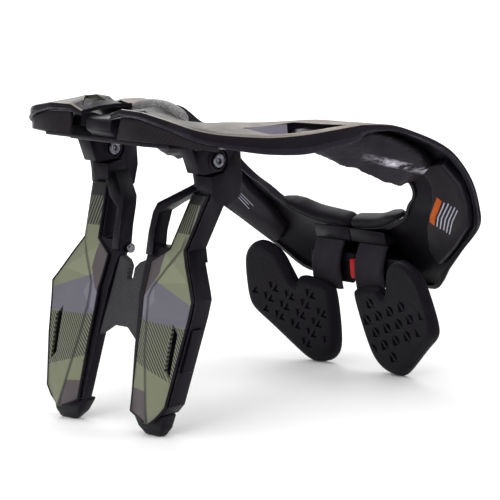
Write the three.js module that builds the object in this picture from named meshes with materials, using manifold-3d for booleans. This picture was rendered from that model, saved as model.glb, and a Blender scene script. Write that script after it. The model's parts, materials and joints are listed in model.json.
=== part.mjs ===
// Neck brace for motocross, in millimetres.
// +X is the wearer's left, -Y the chest, +Y the back, +Z up, and it stands on z = 0.
import * as THREE from 'three';
import { mergeVertices } from 'three/addons/utils/BufferGeometryUtils.js';
import Module from 'manifold-3d';

const wasm = await Module();
wasm.setup();

// Overall sizes
const halfWidth = 145;
const frontReach = 186;
const rearReach = 58;
const tableHeight = 222;

// Walls, gaps and clearances
const clearance = 0.3;
const shellWall = 2.5;
const skirtWall = 2.5;
const skirtInset = 1.2;
const splitGap = 1;
const seatGap = 0.7;
const collarWall = 6;

// Strut pivot
const pivotX = 57;
const pivotY = 6.6;
const pivotDrop = 39.6;
const pivotZ = tableHeight - pivotDrop;
const bracketWidth = 14;
const bracketRound = 8.4;
const headClearance = 0.8;
const boltRadius = 3;
const boltHeadRadius = 4.8;
const boltHeadLength = 2;
const socketRadius = 2;
const socketDepth = 1.4;
const boreClearance = 0.4;
const nutRadius = 10;
const nutLength = 6;

// Rear base and the hinges of the halves
const baseTopDrop = 22.5;
const baseTop = tableHeight - baseTopDrop;
const hingeX = 26;
const hingeY = 20;
const hingePinRadius = 3;
const hingePinLength = 8;
const knuckleRadius = 6.5;
const centrePlateHalfWidth = 13.5;
const centrePlateTopDrop = 8.6;
const rearPadDepth = 8;
const rearPadFront = 1.8;

// Struts
const strutDepth = 14;
const strutLip = 1.6;
const plateThickness = 2;
const clipThickness = 2.4;
const bridgeThickness = 6;

// Front
const panelThickness = 5;
const collarPadDepth = 9;
const armWidth = 29;
const armThickness = 3.4;
const armInner = 8.6;
const chestPadThickness = 8;
const leverWidth = 5.4;
const leverThickness = 3;
const leverLength = 12;
const leverPinRadius = 1.3;

// Colours and finishes
const finish = {
  blackPlastic: { color: 0x1b1a20, roughness: 0.5, metalness: 0 },
  greyPlastic: { color: 0x2a2a2e, roughness: 0.55, metalness: 0 },
  camoPlastic: { color: 0x6b7058, roughness: 0.6, metalness: 0 },
  tanPlastic: { color: 0x8f8377, roughness: 0.6, metalness: 0 },
  foam: { color: 0x1d1c22, roughness: 0.8, metalness: 0 },
  fabric: { color: 0x26252b, roughness: 0.9, metalness: 0 },
  rubber: { color: 0x242327, roughness: 0.85, metalness: 0 },
  steel: { color: 0xb8b8bc, roughness: 0.3, metalness: 1 },
  red: { color: 0xc02a2c, roughness: 0.5, metalness: 0 },
};

// A point from shares of the overall sizes
function spot(x, y, z) {
  const reach = y < 0 ? frontReach : rearReach;
  return new THREE.Vector3(x * halfWidth, y * reach, z * tableHeight);
}

function mix(a, b, t) {
  return a.clone().lerp(b, t);
}

// Two in-plane coordinates of a nearly flat ring of points
function flatten(ring) {
  const normal = new THREE.Vector3();
  for (let i = 0; i < ring.length; i += 1) {
    normal.add(ring[i].clone().cross(ring[(i + 1) % ring.length]));
  }
  normal.normalize();
  const along = ring[1].clone().sub(ring[0]).normalize();
  const across = normal.clone().cross(along);
  return ring.map((p) => new THREE.Vector2(p.dot(along), p.dot(across)));
}

// A closed mesh through rings that have the same number of points
function loft(rings) {
  const count = rings[0].length;
  const positions = rings.flat().flatMap((p) => [p.x, p.y, p.z]);
  const faces = [];
  for (let r = 0; r + 1 < rings.length; r += 1) {
    for (let i = 0; i < count; i += 1) {
      const a = r * count + i;
      const b = r * count + ((i + 1) % count);
      faces.push([a, b, b + count]);
      faces.push([a, b + count, a + count]);
    }
  }
  const last = (rings.length - 1) * count;
  const caps = THREE.ShapeUtils.triangulateShape(flatten(rings[0]), []);
  const ends = THREE.ShapeUtils.triangulateShape(flatten(rings[rings.length - 1]), []);
  caps.forEach(([a, b, c]) => faces.push([c, b, a]));
  ends.forEach(([a, b, c]) => faces.push([a + last, b + last, c + last]));
  return outward(positions, faces);
}

function outward(positions, faces) {
  const geometry = new THREE.BufferGeometry();
  geometry.setAttribute('position', new THREE.Float32BufferAttribute(positions, 3));
  const flip = volumeOf(positions, faces) < 0;
  const indices = faces.flatMap(([a, b, c]) => (flip ? [a, c, b] : [a, b, c]));
  geometry.setIndex(indices);
  return geometry;
}

function volumeOf(positions, faces) {
  const point = (i) => new THREE.Vector3().fromArray(positions, i * 3);
  let total = 0;
  for (const [a, b, c] of faces) {
    total += point(a).dot(point(b).cross(point(c)));
  }
  return total;
}

// Four corners in a level plane
function box4(x0, x1, front, back, z, drawnIn = 0) {
  return [new THREE.Vector3(x0, front + drawnIn, z), new THREE.Vector3(x1, front, z),
    new THREE.Vector3(x1, back, z), new THREE.Vector3(x0, back, z)];
}

// Between three.js geometry and a solid for cuts and joins
function toSolid(geometry) {
  const bare = geometry.clone();
  bare.deleteAttribute('normal');
  bare.deleteAttribute('uv');
  const merged = mergeVertices(bare, 1e-4);
  const vertProperties = new Float32Array(merged.attributes.position.array);
  const triVerts = new Uint32Array(merged.index.array);
  return new wasm.Manifold(new wasm.Mesh({ numProp: 3, vertProperties, triVerts }));
}

function fromSolid(solid) {
  const mesh = solid.getMesh();
  const geometry = new THREE.BufferGeometry();
  geometry.setAttribute('position', new THREE.Float32BufferAttribute(mesh.vertProperties, 3));
  geometry.setIndex(Array.from(mesh.triVerts));
  return geometry;
}

function mirrorX(geometry) {
  const copy = geometry.clone();
  copy.scale(-1, 1, 1);
  const index = copy.index.array;
  for (let i = 0; i < index.length; i += 3) {
    [index[i + 1], index[i + 2]] = [index[i + 2], index[i + 1]];
  }
  return copy;
}

// A prism between x0 and x1 whose outline is given in Y and Z
function prismX(outline, x0, x1) {
  const ring = (x) => outline.map(([y, z]) => new THREE.Vector3(x, y, z));
  return loft([ring(x0), ring(x1)]);
}

// A cylinder along X or Z
function barrelX(radius, x0, x1, y, z, sides = 20) {
  const geometry = new THREE.CylinderGeometry(radius, radius, x1 - x0, sides);
  geometry.rotateZ(Math.PI / 2);
  geometry.translate((x0 + x1) / 2, y, z);
  return geometry;
}

function barrelZ(radius, z0, z1, x, y, sides = 20) {
  const geometry = new THREE.CylinderGeometry(radius, radius, z1 - z0, sides);
  geometry.rotateX(Math.PI / 2);
  geometry.translate(x, y, (z0 + z1) / 2);
  return geometry;
}

// Stations of the table shell from the rear split to the front split: outer and inner edge as shares
// of the overall sizes, then the crown, the outer wall and the inner wall as shares of the table height.
const shellTable = [
  { outer: [0.11, 1, 0.982], inner: [0.11, 0.24, 0.978], crown: 0.006, wall: 0.018, lip: 0.014 },
  { outer: [0.193, 1, 1], inner: [0.193, 0.2, 0.948], crown: 0.04, wall: 0.023, lip: 0.02 },
  { outer: [0.345, 1, 0.998], inner: [0.3, 0.19, 0.93], crown: 0.03, wall: 0.025, lip: 0.02 },
  { outer: [0.497, 0.966, 0.981], inner: [0.4, 0.12, 0.935], crown: 0.016, wall: 0.029, lip: 0.022 },
  { outer: [0.593, 0.855, 0.959], inner: [0.448, 0.017, 0.936], crown: 0.004, wall: 0.032, lip: 0.024 },
  { outer: [0.634, 0.731, 0.944], inner: [0.476, -0.027, 0.934], crown: 0.003, wall: 0.036, lip: 0.025 },
  { outer: [0.676, 0.524, 0.928], inner: [0.497, -0.065, 0.93], crown: 0.003, wall: 0.041, lip: 0.026 },
  { outer: [0.731, 0.195, 0.912], inner: [0.514, -0.108, 0.926], crown: 0.003, wall: 0.05, lip: 0.028 },
  { outer: [0.772, -0.028, 0.902], inner: [0.531, -0.161, 0.922], crown: 0.003, wall: 0.056, lip: 0.03 },
  { outer: [0.821, -0.142, 0.9], inner: [0.548, -0.226, 0.918], crown: 0.003, wall: 0.063, lip: 0.03 },
  { outer: [0.869, -0.247, 0.905], inner: [0.559, -0.29, 0.914], crown: 0.002, wall: 0.056, lip: 0.03 },
  { outer: [0.9, -0.333, 0.909], inner: [0.566, -0.355, 0.909], crown: 0.002, wall: 0.05, lip: 0.03 },
  { outer: [0.91, -0.376, 0.908], inner: [0.572, -0.392, 0.903], crown: 0.002, wall: 0.029, lip: 0.03 },
  { outer: [0.938, -0.484, 0.895], inner: [0.583, -0.462, 0.883], crown: 0.002, wall: 0.02, lip: 0.028 },
  { outer: [0.959, -0.586, 0.862], inner: [0.6, -0.548, 0.83], crown: 0.004, wall: 0.02, lip: 0.026 },
  { outer: [0.972, -0.691, 0.817], inner: [0.621, -0.645, 0.777], crown: 0.008, wall: 0.02, lip: 0.024 },
  { outer: [0.986, -0.758, 0.769], inner: [0.638, -0.72, 0.727], crown: 0.011, wall: 0.02, lip: 0.024 },
  { outer: [0.993, -0.823, 0.689], inner: [0.638, -0.785, 0.662], crown: 0.014, wall: 0.02, lip: 0.024 },
  { outer: [1, -0.849, 0.609], inner: [0.593, -0.823, 0.615], crown: 0.014, wall: 0.02, lip: 0.024 },
  { outer: [1, -0.849, 0.539], inner: [0.524, -0.847, 0.581], crown: 0.014, wall: 0.02, lip: 0.024 },
  { outer: [0.821, -0.898, 0.455], inner: [0.468, -0.869, 0.548], crown: 0.018, wall: 0.02, lip: 0.024 },
  { outer: [0.645, -0.949, 0.374], inner: [0.378, -0.892, 0.52], crown: 0.018, wall: 0.02, lip: 0.024 },
  { outer: [0.469, -1, 0.293], inner: [0.267, -0.912, 0.495], crown: 0.018, wall: 0.02, lip: 0.024 },
  { outer: [0.234, -1.011, 0.315], inner: [0.138, -0.926, 0.483], crown: 0.018, wall: 0.02, lip: 0.024 },
  { outer: [0, -1.016, 0.338], inner: [0, -0.94, 0.473], crown: 0.018, wall: 0.02, lip: 0.024 },
];
const crownShares = [0.3, 0.62];

// Frames of the stations: edges, the direction across from inner to outer, and the way down
// from the top face, which is the way to the chest side on the front of the brace.
const frames = shellTable.map((row, k) => {
  const outer = spot(...row.outer);
  const inner = spot(...row.inner);
  if (k === shellTable.length - 1) {
    outer.x = splitGap / 2;
    inner.x = splitGap / 2;
  }
  return { outer, inner, row };
});
frames.forEach((frame, k) => {
  const before = frames[Math.max(k - 1, 0)];
  const after = frames[Math.min(k + 1, frames.length - 1)];
  const along = mix(after.inner, after.outer, 0.5).sub(mix(before.inner, before.outer, 0.5));
  frame.across = frame.outer.clone().sub(frame.inner).normalize();
  if (k === 0 || k === frames.length - 1) {
    along.set(k === 0 ? 1 : -1, 0, 0);
  }
  frame.down = frame.across.clone().cross(along).normalize();
  frame.crown = frame.row.crown * tableHeight;
});

// A point of station k at a share of the way across and a depth below the top face
function shellPoint(k, share, depth) {
  const frame = frames[k];
  const [low, high] = crownShares;
  let lift = frame.crown;
  if (share < low) {
    lift *= share / low;
  } else if (share > high) {
    lift *= (1 - share) / (1 - high);
  }
  return mix(frame.inner, frame.outer, share).addScaledVector(frame.down, depth - lift);
}

// The wall of the shell between its top and under face, with the rim and the inner lip
function shellRing(k) {
  const { outer, inner, across, down, row } = frames[k];
  const [low, high] = crownShares;
  const wall = row.wall * tableHeight;
  const lip = row.lip * tableHeight;
  return [
    outer.clone().addScaledVector(down, wall),
    outer.clone(),
    shellPoint(k, high, 0),
    shellPoint(k, low, 0),
    inner.clone(),
    inner.clone().addScaledVector(down, lip),
    inner.clone().addScaledVector(down, lip).addScaledVector(across, shellWall),
    inner.clone().addScaledVector(down, shellWall).addScaledVector(across, shellWall),
    shellPoint(k, low, shellWall),
    shellPoint(k, high, shellWall),
    outer.clone().addScaledVector(down, shellWall).addScaledVector(across, -shellWall),
    outer.clone().addScaledVector(down, wall).addScaledVector(across, -shellWall),
  ];
}

function filledRing(k, depth) {
  const [low, high] = crownShares;
  const shares = [1, high, low, 0];
  const top = shares.map((share) => shellPoint(k, share, 0));
  const under = shares.map((share) => shellPoint(k, share, depth));
  return [...top, ...under.reverse()];
}

function between(k, step, share, depth) {
  return mix(shellPoint(k, share, depth), shellPoint(k + 1, share, depth), step);
}

// The long window in the table, and the shallow three-cornered recess behind it
const windowCorners = [[0.607, 0.052], [0.6, -0.237], [0.855, -0.323], [0.786, -0.161], [0.731, -0.032]];
const recessCorners = [[0, 0.33, 0.42], [0, 0.33, 0.9], [1, 0.45, 0.6]];
const recessDepth = 1.6;

function buildShell() {
  let shell = toSolid(loft(frames.map((frame, k) => shellRing(k))));
  const knuckleFill = toSolid(loft([0, 1, 2].map((k) => filledRing(k, 3 * knuckleRadius))));
  const knuckleFloor = baseTop + 2 * clearance;
  const knuckle = toSolid(barrelZ(knuckleRadius, knuckleFloor, tableHeight + 5, hingeX, hingeY));
  shell = shell.add(knuckle.intersect(knuckleFill));
  const boreTop = baseTop + hingePinLength + clearance;
  shell = shell.subtract(toSolid(
    barrelZ(hingePinRadius + boreClearance, knuckleFloor - 1, boreTop, hingeX, hingeY)));
  const opening = (z) => windowCorners.map(([x, y]) => spot(x, y, z));
  shell = shell.subtract(toSolid(loft([opening(0.8), opening(1.05)])));
  const floor = recessCorners.map(([k, step, share]) => between(k, step, share, recessDepth));
  const above = recessCorners.map(([k, step, share]) => between(k, step, share, -5));
  return fromSolid(shell.subtract(toSolid(loft([floor, above]))));
}

// The skirt hangs under the rim around the back: its depth is a share of the table height
const skirtDepths = { 1: 0.094, 2: 0.09, 3: 0.075, 4: 0.062, 5: 0.058, 6: 0.058 };

function buildSkirt() {
  const rings = Object.entries(skirtDepths).map(([k, share]) => {
    const { outer, across, down, row } = frames[k];
    const corner = (inset, depth) => outer.clone()
      .addScaledVector(across, -inset).addScaledVector(down, depth);
    const top = row.wall * tableHeight + clearance;
    const low = share * tableHeight;
    const inside = skirtInset + skirtWall;
    return [corner(skirtInset, top), corner(skirtInset, low), corner(inside, low), corner(inside, top)];
  });
  return loft(rings);
}

// The pad under the table: inner and outer share across, then its three depths
const shoulderTable = [
  { k: 9, from: 0.12, to: 0.85, inner: 0.02, middle: 0.035, outer: 0.025 },
  { k: 10, from: 0.1, to: 0.85, inner: 0.03, middle: 0.09, outer: 0.04 },
  { k: 11, from: 0.1, to: 0.84, inner: 0.035, middle: 0.12, outer: 0.06 },
  { k: 12, from: 0.1, to: 0.84, inner: 0.04, middle: 0.13, outer: 0.065 },
  { k: 13, from: 0.1, to: 0.82, inner: 0.045, middle: 0.135, outer: 0.07 },
  { k: 14, from: 0.12, to: 0.8, inner: 0.045, middle: 0.145, outer: 0.075 },
  { k: 15, from: 0.15, to: 0.75, inner: 0.045, middle: 0.14, outer: 0.07 },
  { k: 16, from: 0.25, to: 0.65, inner: 0.035, middle: 0.085, outer: 0.045 },
];

function buildShoulderPad() {
  const [low, high] = crownShares;
  return loft(shoulderTable.map((row) => {
    const seat = shellWall + seatGap;
    const hang = (share, depth) => shellPoint(row.k, share, seat + depth * tableHeight);
    return [
      shellPoint(row.k, row.from, seat),
      shellPoint(row.k, low, seat),
      shellPoint(row.k, high, seat),
      shellPoint(row.k, row.to, seat),
      hang(row.to, row.outer / 2),
      hang((row.to + high) / 2, row.outer),
      hang((low + high) / 2, row.middle),
      hang((low + row.from) / 2, row.inner),
    ];
  }));
}

// The raised panel on the chest side of the front arm
const panelTable = [
  { k: 16, from: 0.36, to: 0.84 },
  { k: 17, from: 0.32, to: 0.9 },
  { k: 18, from: 0.3, to: 0.92 },
  { k: 19, from: 0.3, to: 0.93 },
  { k: 20, from: 0.36, to: 0.93 },
  { k: 21, from: 0.6, to: 0.9 },
];

function buildPanel() {
  const bevel = 0.03;
  const seat = shellWall + seatGap;
  return loft(panelTable.map(({ k, from, to }) => {
    const bend = Math.max(crownShares[1], from + bevel);
    const half = (bend + to) / 2;
    const face = seat + panelThickness;
    return [
      shellPoint(k, from, seat),
      shellPoint(k, bend, seat),
      shellPoint(k, half, seat),
      shellPoint(k, to, seat),
      shellPoint(k, to - bevel, face),
      shellPoint(k, half, face),
      shellPoint(k, bend, face),
      shellPoint(k, from + bevel, face),
    ];
  }));
}

// The collar pad rolls over the inner edge of the front
const collarTable = [
  { k: 20, size: 0.7 },
  { k: 21, size: 1 },
  { k: 22, size: 1 },
  { k: 23, size: 1 },
  { k: 24, size: 1 },
];

function buildCollarPad() {
  const sides = 10;
  return loft(collarTable.map(({ k, size }) => {
    const { inner, across, down } = frames[k];
    const high = (size * collarPadDepth) / 2;
    const wide = high * 1.5;
    return Array.from({ length: sides }, (_, i) => {
      const turn = (i / sides) * 2 * Math.PI;
      return inner.clone()
        .addScaledVector(across, -clearance - high - high * Math.cos(turn))
        .addScaledVector(down, collarWall / 2 + wide * Math.sin(turn));
    });
  }));
}

// The block that the chest arm hangs from, on the chest side of the front
const blockTable = [
  { k: 22, step: 0.35, reach: 0.262 },
  { k: 23, step: 0, reach: 0.13 },
  { k: 24, step: 0, reach: 0.0035 },
];
const blockUpper = 0.19;
const blockLower = 0.3;
const blockFace = -0.877;
const blockFoot = -0.886;
const blockHigh = 0.468;
const blockLow = 0.4225;

function buildArmBlock() {
  const seat = shellWall + 3 * seatGap;
  return loft(blockTable.map(({ k, step, reach }) => {
    const on = (share) => (step > 0 ? between(k, step, share, seat) : shellPoint(k, share, seat));
    return [on(blockUpper), on(blockLower), spot(reach, blockFoot, blockLow),
      spot(reach, blockFace, blockHigh)];
  }));
}

// The block behind the arms closes the lower edge of the front: its upper and lower share across the
// shell, and its face towards the chest as shares of the front reach and the table height
const frontBlockTable = [{ k: 22, step: 0.45 }, { k: 23, step: 0 }, { k: 24, step: 0 }];
const frontUpper = 0.62;
const frontLower = 0.89;
const frontFace = -0.895;
const frontHigh = 0.378;
const frontLow = 0.279;

function buildFrontBlock() {
  const seat = shellWall + 2 * seatGap;
  return loft(frontBlockTable.map(({ k, step }) => {
    const on = (share) => (step > 0 ? between(k, step, share, seat) : shellPoint(k, share, seat));
    const upper = on(frontUpper);
    const lower = on(frontLower);
    const across = (upper.x + lower.x) / 2 / halfWidth;
    return [upper, lower, spot(across, frontFace, frontLow), spot(across, frontFace, frontHigh)];
  }));
}

// Chest arm: height and chest face as shares of the table height and the front reach
const armTable = [
  { height: 0.4205, face: -0.887 },
  { height: 0.387, face: -0.868 },
  { height: 0.342, face: -0.852 },
  { height: 0.297, face: -0.8555 },
  { height: 0.225, face: -0.872 },
  { height: 0.14, face: -0.8925 },
];

function buildArm() {
  return loft(armTable.map(({ height, face }) => {
    const middle = spot(0, face, height);
    const back = middle.y - armThickness;
    return box4(armInner, armInner + armWidth, back, middle.y, middle.z);
  }));
}

// Chest pad outline: shares of the half width and the table height
const chestPadOutline = [
  [0.525, 0.41], [0.46, 0.398], [0.403, 0.375], [0.362, 0.31], [0.338, 0.272], [0.314, 0.28],
  [0.295, 0.304], [0.097, 0.284], [0.076, 0.257], [0.103, 0.125], [0.136, 0.05], [0.193, 0.014],
  [0.267, 0], [0.346, 0], [0.425, 0.036], [0.565, 0.108], [0.683, 0.162], [0.7, 0.207],
  [0.678, 0.306], [0.652, 0.36], [0.591, 0.396],
];
const chestPadFoot = -0.8844;
const chestPadSpread = 0.08;
const chestPadLean = 0.2;

function buildChestPad() {
  const faceY = (x, z) => chestPadFoot * frontReach + chestPadSpread * x + chestPadLean * z;
  const ring = (depth) => chestPadOutline.map(([x, z]) => {
    const point = spot(x, 0, z);
    point.y = faceY(point.x, point.z) - depth;
    return point;
  });
  return loft([ring(chestPadThickness), ring(0)]);
}

// Release lever: it hangs beside the split from a pin in one cheek
const cheekRadius = 2.6;
const cheekWidth = 1.7;
const leverNear = 0.8;
const leverFar = leverNear + leverWidth;
const leverPinEnd = leverFar + clearance + cheekWidth;
const leverPinY = frontFace * frontReach + clearance + cheekRadius;
const leverPinZ = 0.356 * tableHeight;

function buildCheek() {
  const disc = toSolid(barrelX(cheekRadius, leverFar + clearance, leverPinEnd, leverPinY, leverPinZ));
  const bore = toSolid(
    barrelX(leverPinRadius + clearance, leverFar, leverPinEnd + 1, leverPinY, leverPinZ));
  return mirrorX(fromSolid(disc.subtract(bore)));
}

function buildLever() {
  const half = leverThickness / 2;
  const foot = leverPinZ - leverLength;
  const outline = [[leverPinY - half, leverPinZ + 2], [leverPinY - half, foot],
    [leverPinY + half - 1, foot], [leverPinY + half, foot + 3], [leverPinY + half, leverPinZ + 2]];
  const plate = toSolid(prismX(outline, leverNear, leverFar));
  const pin = toSolid(barrelX(leverPinRadius, leverNear + 1, leverPinEnd, leverPinY, leverPinZ));
  return mirrorX(fromSolid(plate.add(pin)));
}

// Rear base: a wedge under the table, with wings over the strut brackets and the hinge pins on top
const baseHalfWidth = 40;
const wingHalfWidth = 68;
const wingFront = 24;
const wingBack = 51;
const wingDepth = 7.5;
const wingSlope = 0.17;
const wingUnder = (y) => baseTop - wingDepth + (y - wingFront) * wingSlope;
const baseFront = -4;
const baseFrontDepth = 15;
const baseBackDepth = 3.5;

function buildBase() {
  const outline = [[baseFront, baseTop - baseFrontDepth], [wingBack, baseTop - baseBackDepth],
    [wingBack, baseTop], [baseFront, baseTop]];
  const wing = [[wingFront, wingUnder(wingFront)], [wingBack, wingUnder(wingBack)],
    [wingBack, baseTop], [wingFront, baseTop]];
  let base = toSolid(prismX(outline, -baseHalfWidth, baseHalfWidth));
  base = base.add(toSolid(prismX(wing, -wingHalfWidth, wingHalfWidth)));
  for (const side of [1, -1]) {
    const top = baseTop + hingePinLength;
    base = base.add(toSolid(barrelZ(hingePinRadius, baseTop - 1, top, side * hingeX, hingeY)));
  }
  return fromSolid(base);
}

function buildCentrePlate() {
  const front = rearPadFront + rearPadDepth + clearance;
  const back = rearReach - skirtInset;
  const top = tableHeight - centrePlateTopDrop;
  const under = baseTop + clearance;
  const outline = [[front, under], [wingBack, under], [back, under + 5], [back, top - 2],
    [back - 2, top], [front, top]];
  return prismX(outline, -centrePlateHalfWidth, centrePlateHalfWidth);
}

// Rise of the rear collar pad along its width, as shares of the half width and of the base's drop
const rearPadTable = [[-0.225, 0.1909], [-0.2, 0.3093], [-0.15, 0.5757], [-0.08, 0.8027],
  [0, 0.8619], [0.08, 0.8027], [0.15, 0.5757], [0.2, 0.3093], [0.225, 0.1909]];
const rearPadRound = 2.5;

function buildRearPad() {
  const under = baseTop + clearance;
  const back = rearPadFront + rearPadDepth;
  return loft(rearPadTable.map(([share, rise]) => {
    const x = share * halfWidth;
    const high = baseTop + rise * baseTopDrop;
    const point = (y, z) => new THREE.Vector3(x, y, z);
    return [point(rearPadFront, under), point(rearPadFront, high - rearPadRound),
      point(rearPadFront + rearPadRound, high), point(back - rearPadRound, high),
      point(back, high - rearPadRound), point(back, under)];
  }));
}

// Strut bracket, in Y and Z around the pivot, and the bolt through it
const bracketReach = 21;

function buildBracket() {
  const outline = [
    [pivotY, pivotZ - bracketRound],
    [pivotY + 0.5 * bracketReach, pivotZ - 1.04 * bracketRound],
    [pivotY + 0.74 * bracketReach, pivotZ - 0.9 * bracketRound],
    [pivotY + bracketReach, wingUnder(pivotY + bracketReach) - clearance],
    [wingFront, wingUnder(wingFront) - clearance],
    [pivotY, pivotZ + bracketRound],
  ];
  const half = bracketWidth / 2;
  let bracket = toSolid(prismX(outline, pivotX - half, pivotX + half));
  const eye = barrelX(bracketRound, pivotX - half, pivotX + half, pivotY, pivotZ, 28);
  const bore = barrelX(boltRadius + boreClearance, pivotX - half - 1, pivotX + half + 1, pivotY, pivotZ);
  bracket = bracket.add(toSolid(eye)).subtract(toSolid(bore));
  return fromSolid(bracket);
}

function buildBolt(side) {
  const seat = side * pivotX - bracketWidth / 2 - clearance;
  const end = side * pivotX + bracketWidth / 2 + headClearance + nutLength - 2;
  const head = toSolid(barrelX(boltHeadRadius, seat - boltHeadLength, seat, pivotY, pivotZ));
  const shank = toSolid(barrelX(boltRadius, seat - 0.5, end, pivotY, pivotZ));
  const socketEnd = seat - boltHeadLength + socketDepth;
  const socket = toSolid(barrelX(socketRadius, seat - boltHeadLength - 1, socketEnd, pivotY, pivotZ, 6));
  return fromSolid(head.add(shank).subtract(socket));
}

// Strut sections from the neck to the tip: height of the table height, widths of the half width,
// and the back face as a share of strutReach. rim is the inner edge of the frame around the plate.
const strutReach = 69;
const strutTable = [
  { height: 0.716, rim: 0.317, inner: 0.328, outer: 0.432, crease: 0.414, back: 0.232 },
  { height: 0.554, rim: 0.101, inner: 0.274, outer: 0.377, crease: 0.366, back: 0.471 },
  { height: 0.5135, rim: 0.106, inner: 0.166, outer: 0.421, crease: 0.317, back: 0.536 },
  { height: 0.437, rim: 0.117, inner: 0.172, outer: 0.506, crease: 0.228, back: 0.638 },
  { height: 0.414, rim: 0.121, inner: 0.174, outer: 0.532, crease: 0.221, back: 0.674 },
  { height: 0.36, rim: 0.13, inner: 0.179, outer: 0.521, crease: 0.228, back: 0.717 },
  { height: 0.257, rim: 0.148, inner: 0.188, outer: 0.497, crease: 0.255, back: 0.819 },
  { height: 0.099, rim: 0.179, inner: 0.202, outer: 0.451, crease: 0.317, back: 0.957 },
  { height: 0.072, rim: 0.186, inner: 0.204, outer: 0.412, crease: 0.328, back: 0.98 },
  { height: 0.045, rim: 0.2, inner: 0.31, outer: 0.352, crease: 0.341, back: 1 },
];
const neckRow = 0;
const shoulderRow = 1;
const footRow = 8;
const innerFlank = 6;
const creaseRise = 1.6;
const headWall = 11;
const headHeel = 12;
const headSlope = 9;
const neckWidening = 2;
const slotOutline = [[0.418, 0.347], [0.465, 0.315], [0.455, 0.177], [0.414, 0.203]];

// The branch that closes the window beside the neck: height, inner edge, outer edge and back face
const branchTable = [
  { height: 0.748, inner: 0.31, outer: 0.4, back: 0.18 },
  { height: 0.685, inner: 0.13, outer: 0.235, back: 0.39 },
  { height: 0.657, inner: 0.115, outer: 0.16, back: 0.43 },
  { height: 0.6, inner: 0.11, outer: 0.152, back: 0.49 },
  { height: 0.53, inner: 0.106, outer: 0.155, back: 0.54 },
];

function frameBack(back) {
  return back * strutReach - plateThickness - clearance;
}

function slotCutter() {
  const ring = (y) => slotOutline.map(([x, z]) => new THREE.Vector3(x * halfWidth, y, z * tableHeight));
  return toSolid(loft([ring(0), ring(strutReach * 1.5)]));
}

function buildStrut(side) {
  const blade = strutTable.slice(shoulderRow, footRow + 1).map((row) => box4(
    row.rim * halfWidth, row.outer * halfWidth + strutLip,
    frameBack(row.back) - strutDepth, frameBack(row.back), row.height * tableHeight, innerFlank));
  const neck = strutTable.slice(neckRow, shoulderRow + 2).map((row) => box4(
    Math.max(row.inner, strutTable[shoulderRow].inner) * halfWidth - strutLip,
    row.outer * halfWidth + strutLip,
    frameBack(row.back) - strutDepth - neckWidening, frameBack(row.back), row.height * tableHeight));
  const branch = branchTable.map((row) => box4(
    row.inner * halfWidth, row.outer * halfWidth,
    frameBack(row.back) - strutDepth + neckWidening, frameBack(row.back), row.height * tableHeight));
  const half = bracketWidth / 2 + 1;
  const neckTop = strutTable[neckRow].height * tableHeight;
  const neckBack = frameBack(strutTable[neckRow].back);
  const headFront = pivotY - bracketRound - headClearance - headWall;
  const saddle = pivotZ - bracketRound - headClearance;
  const head = [[headFront, pivotZ + 6.5], [pivotY - 6, pivotZ + 6.5], [pivotY - 6, saddle],
    [neckBack, saddle - 1.5], [neckBack, neckTop - 1], [neckBack - headHeel, neckTop - headSlope],
    [headFront + 4, neckTop - 4], [headFront, neckTop + headSlope]];
  let strut = toSolid(loft(blade)).add(toSolid(loft(neck))).add(toSolid(loft(branch)));
  strut = strut.add(toSolid(prismX(head, pivotX - half, pivotX + half)));
  strut = strut.subtract(toSolid(barrelX(bracketRound + headClearance, pivotX - half - 1,
    pivotX + half + 1, pivotY, pivotZ, 28)));
  strut = strut.subtract(slotCutter());
  if (side < 0) {
    strut = toSolid(mirrorX(fromSolid(strut)));
  }
  const ear = side * pivotX + bracketWidth / 2 + headClearance;
  const earFoot = [[headFront + 4, neckTop - 3], [neckBack - 1, neckTop - 1], [neckBack - 1, saddle - 2],
    [headFront + 4, saddle - 2]];
  const web = [[headFront + 5, neckTop], [neckBack - 2, neckTop], [pivotY + 8, pivotZ],
    [pivotY - 8, pivotZ]];
  strut = strut.add(toSolid(prismX(earFoot, side * pivotX, ear + 4)));
  strut = strut.add(toSolid(prismX(web, ear, ear + 4)));
  strut = strut.add(toSolid(barrelX(nutRadius, ear, ear + nutLength, pivotY, pivotZ, 28)));
  strut = strut.subtract(toSolid(barrelX(boltRadius + boreClearance, ear - 1, ear + nutLength - 1.5,
    pivotY, pivotZ)));
  return fromSolid(strut);
}

function buildPlate() {
  const rings = strutTable.map((row) => {
    const z = row.height * tableHeight;
    const back = row.back * strutReach;
    const point = (x, y) => new THREE.Vector3(x * halfWidth, y, z);
    return [point(row.inner, back - plateThickness), point(row.outer, back - plateThickness),
      point(row.outer, back), point(row.crease, back + creaseRise), point(row.inner, back)];
  });
  return fromSolid(toSolid(loft(rings)).subtract(slotCutter()));
}

// Boot under the strut: height, edges and faces
const bootTable = [
  { height: 0.0705, inner: 0.186, outer: 0.412, front: 0.745, back: 0.945 },
  { height: 0.027, inner: 0.225, outer: 0.4, front: 0.79, back: 0.945 },
  { height: 0, inner: 0.275, outer: 0.372, front: 0.83, back: 0.93 },
];

function buildBoot() {
  return loft(bootTable.map((row) => box4(row.inner * halfWidth, row.outer * halfWidth + strutLip,
    row.front * strutReach, row.back * strutReach, row.height * tableHeight)));
}

// Insert on the outer flank of the strut, between two heights
const clipHigh = 0.33;
const clipLow = 0.2;

function strutAt(height, column) {
  const next = strutTable.findIndex((row) => row.height <= height);
  const a = strutTable[next - 1];
  const b = strutTable[next];
  return a[column] + ((b[column] - a[column]) * (a.height - height)) / (a.height - b.height);
}

function buildClip() {
  return loft([clipHigh, clipLow].map((height) => {
    const x = strutAt(height, 'outer') * halfWidth + strutLip + clearance;
    const back = frameBack(strutAt(height, 'back')) - 2;
    return box4(x, x + clipThickness, back - strutDepth + 5, back, height * tableHeight);
  }));
}

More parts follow.
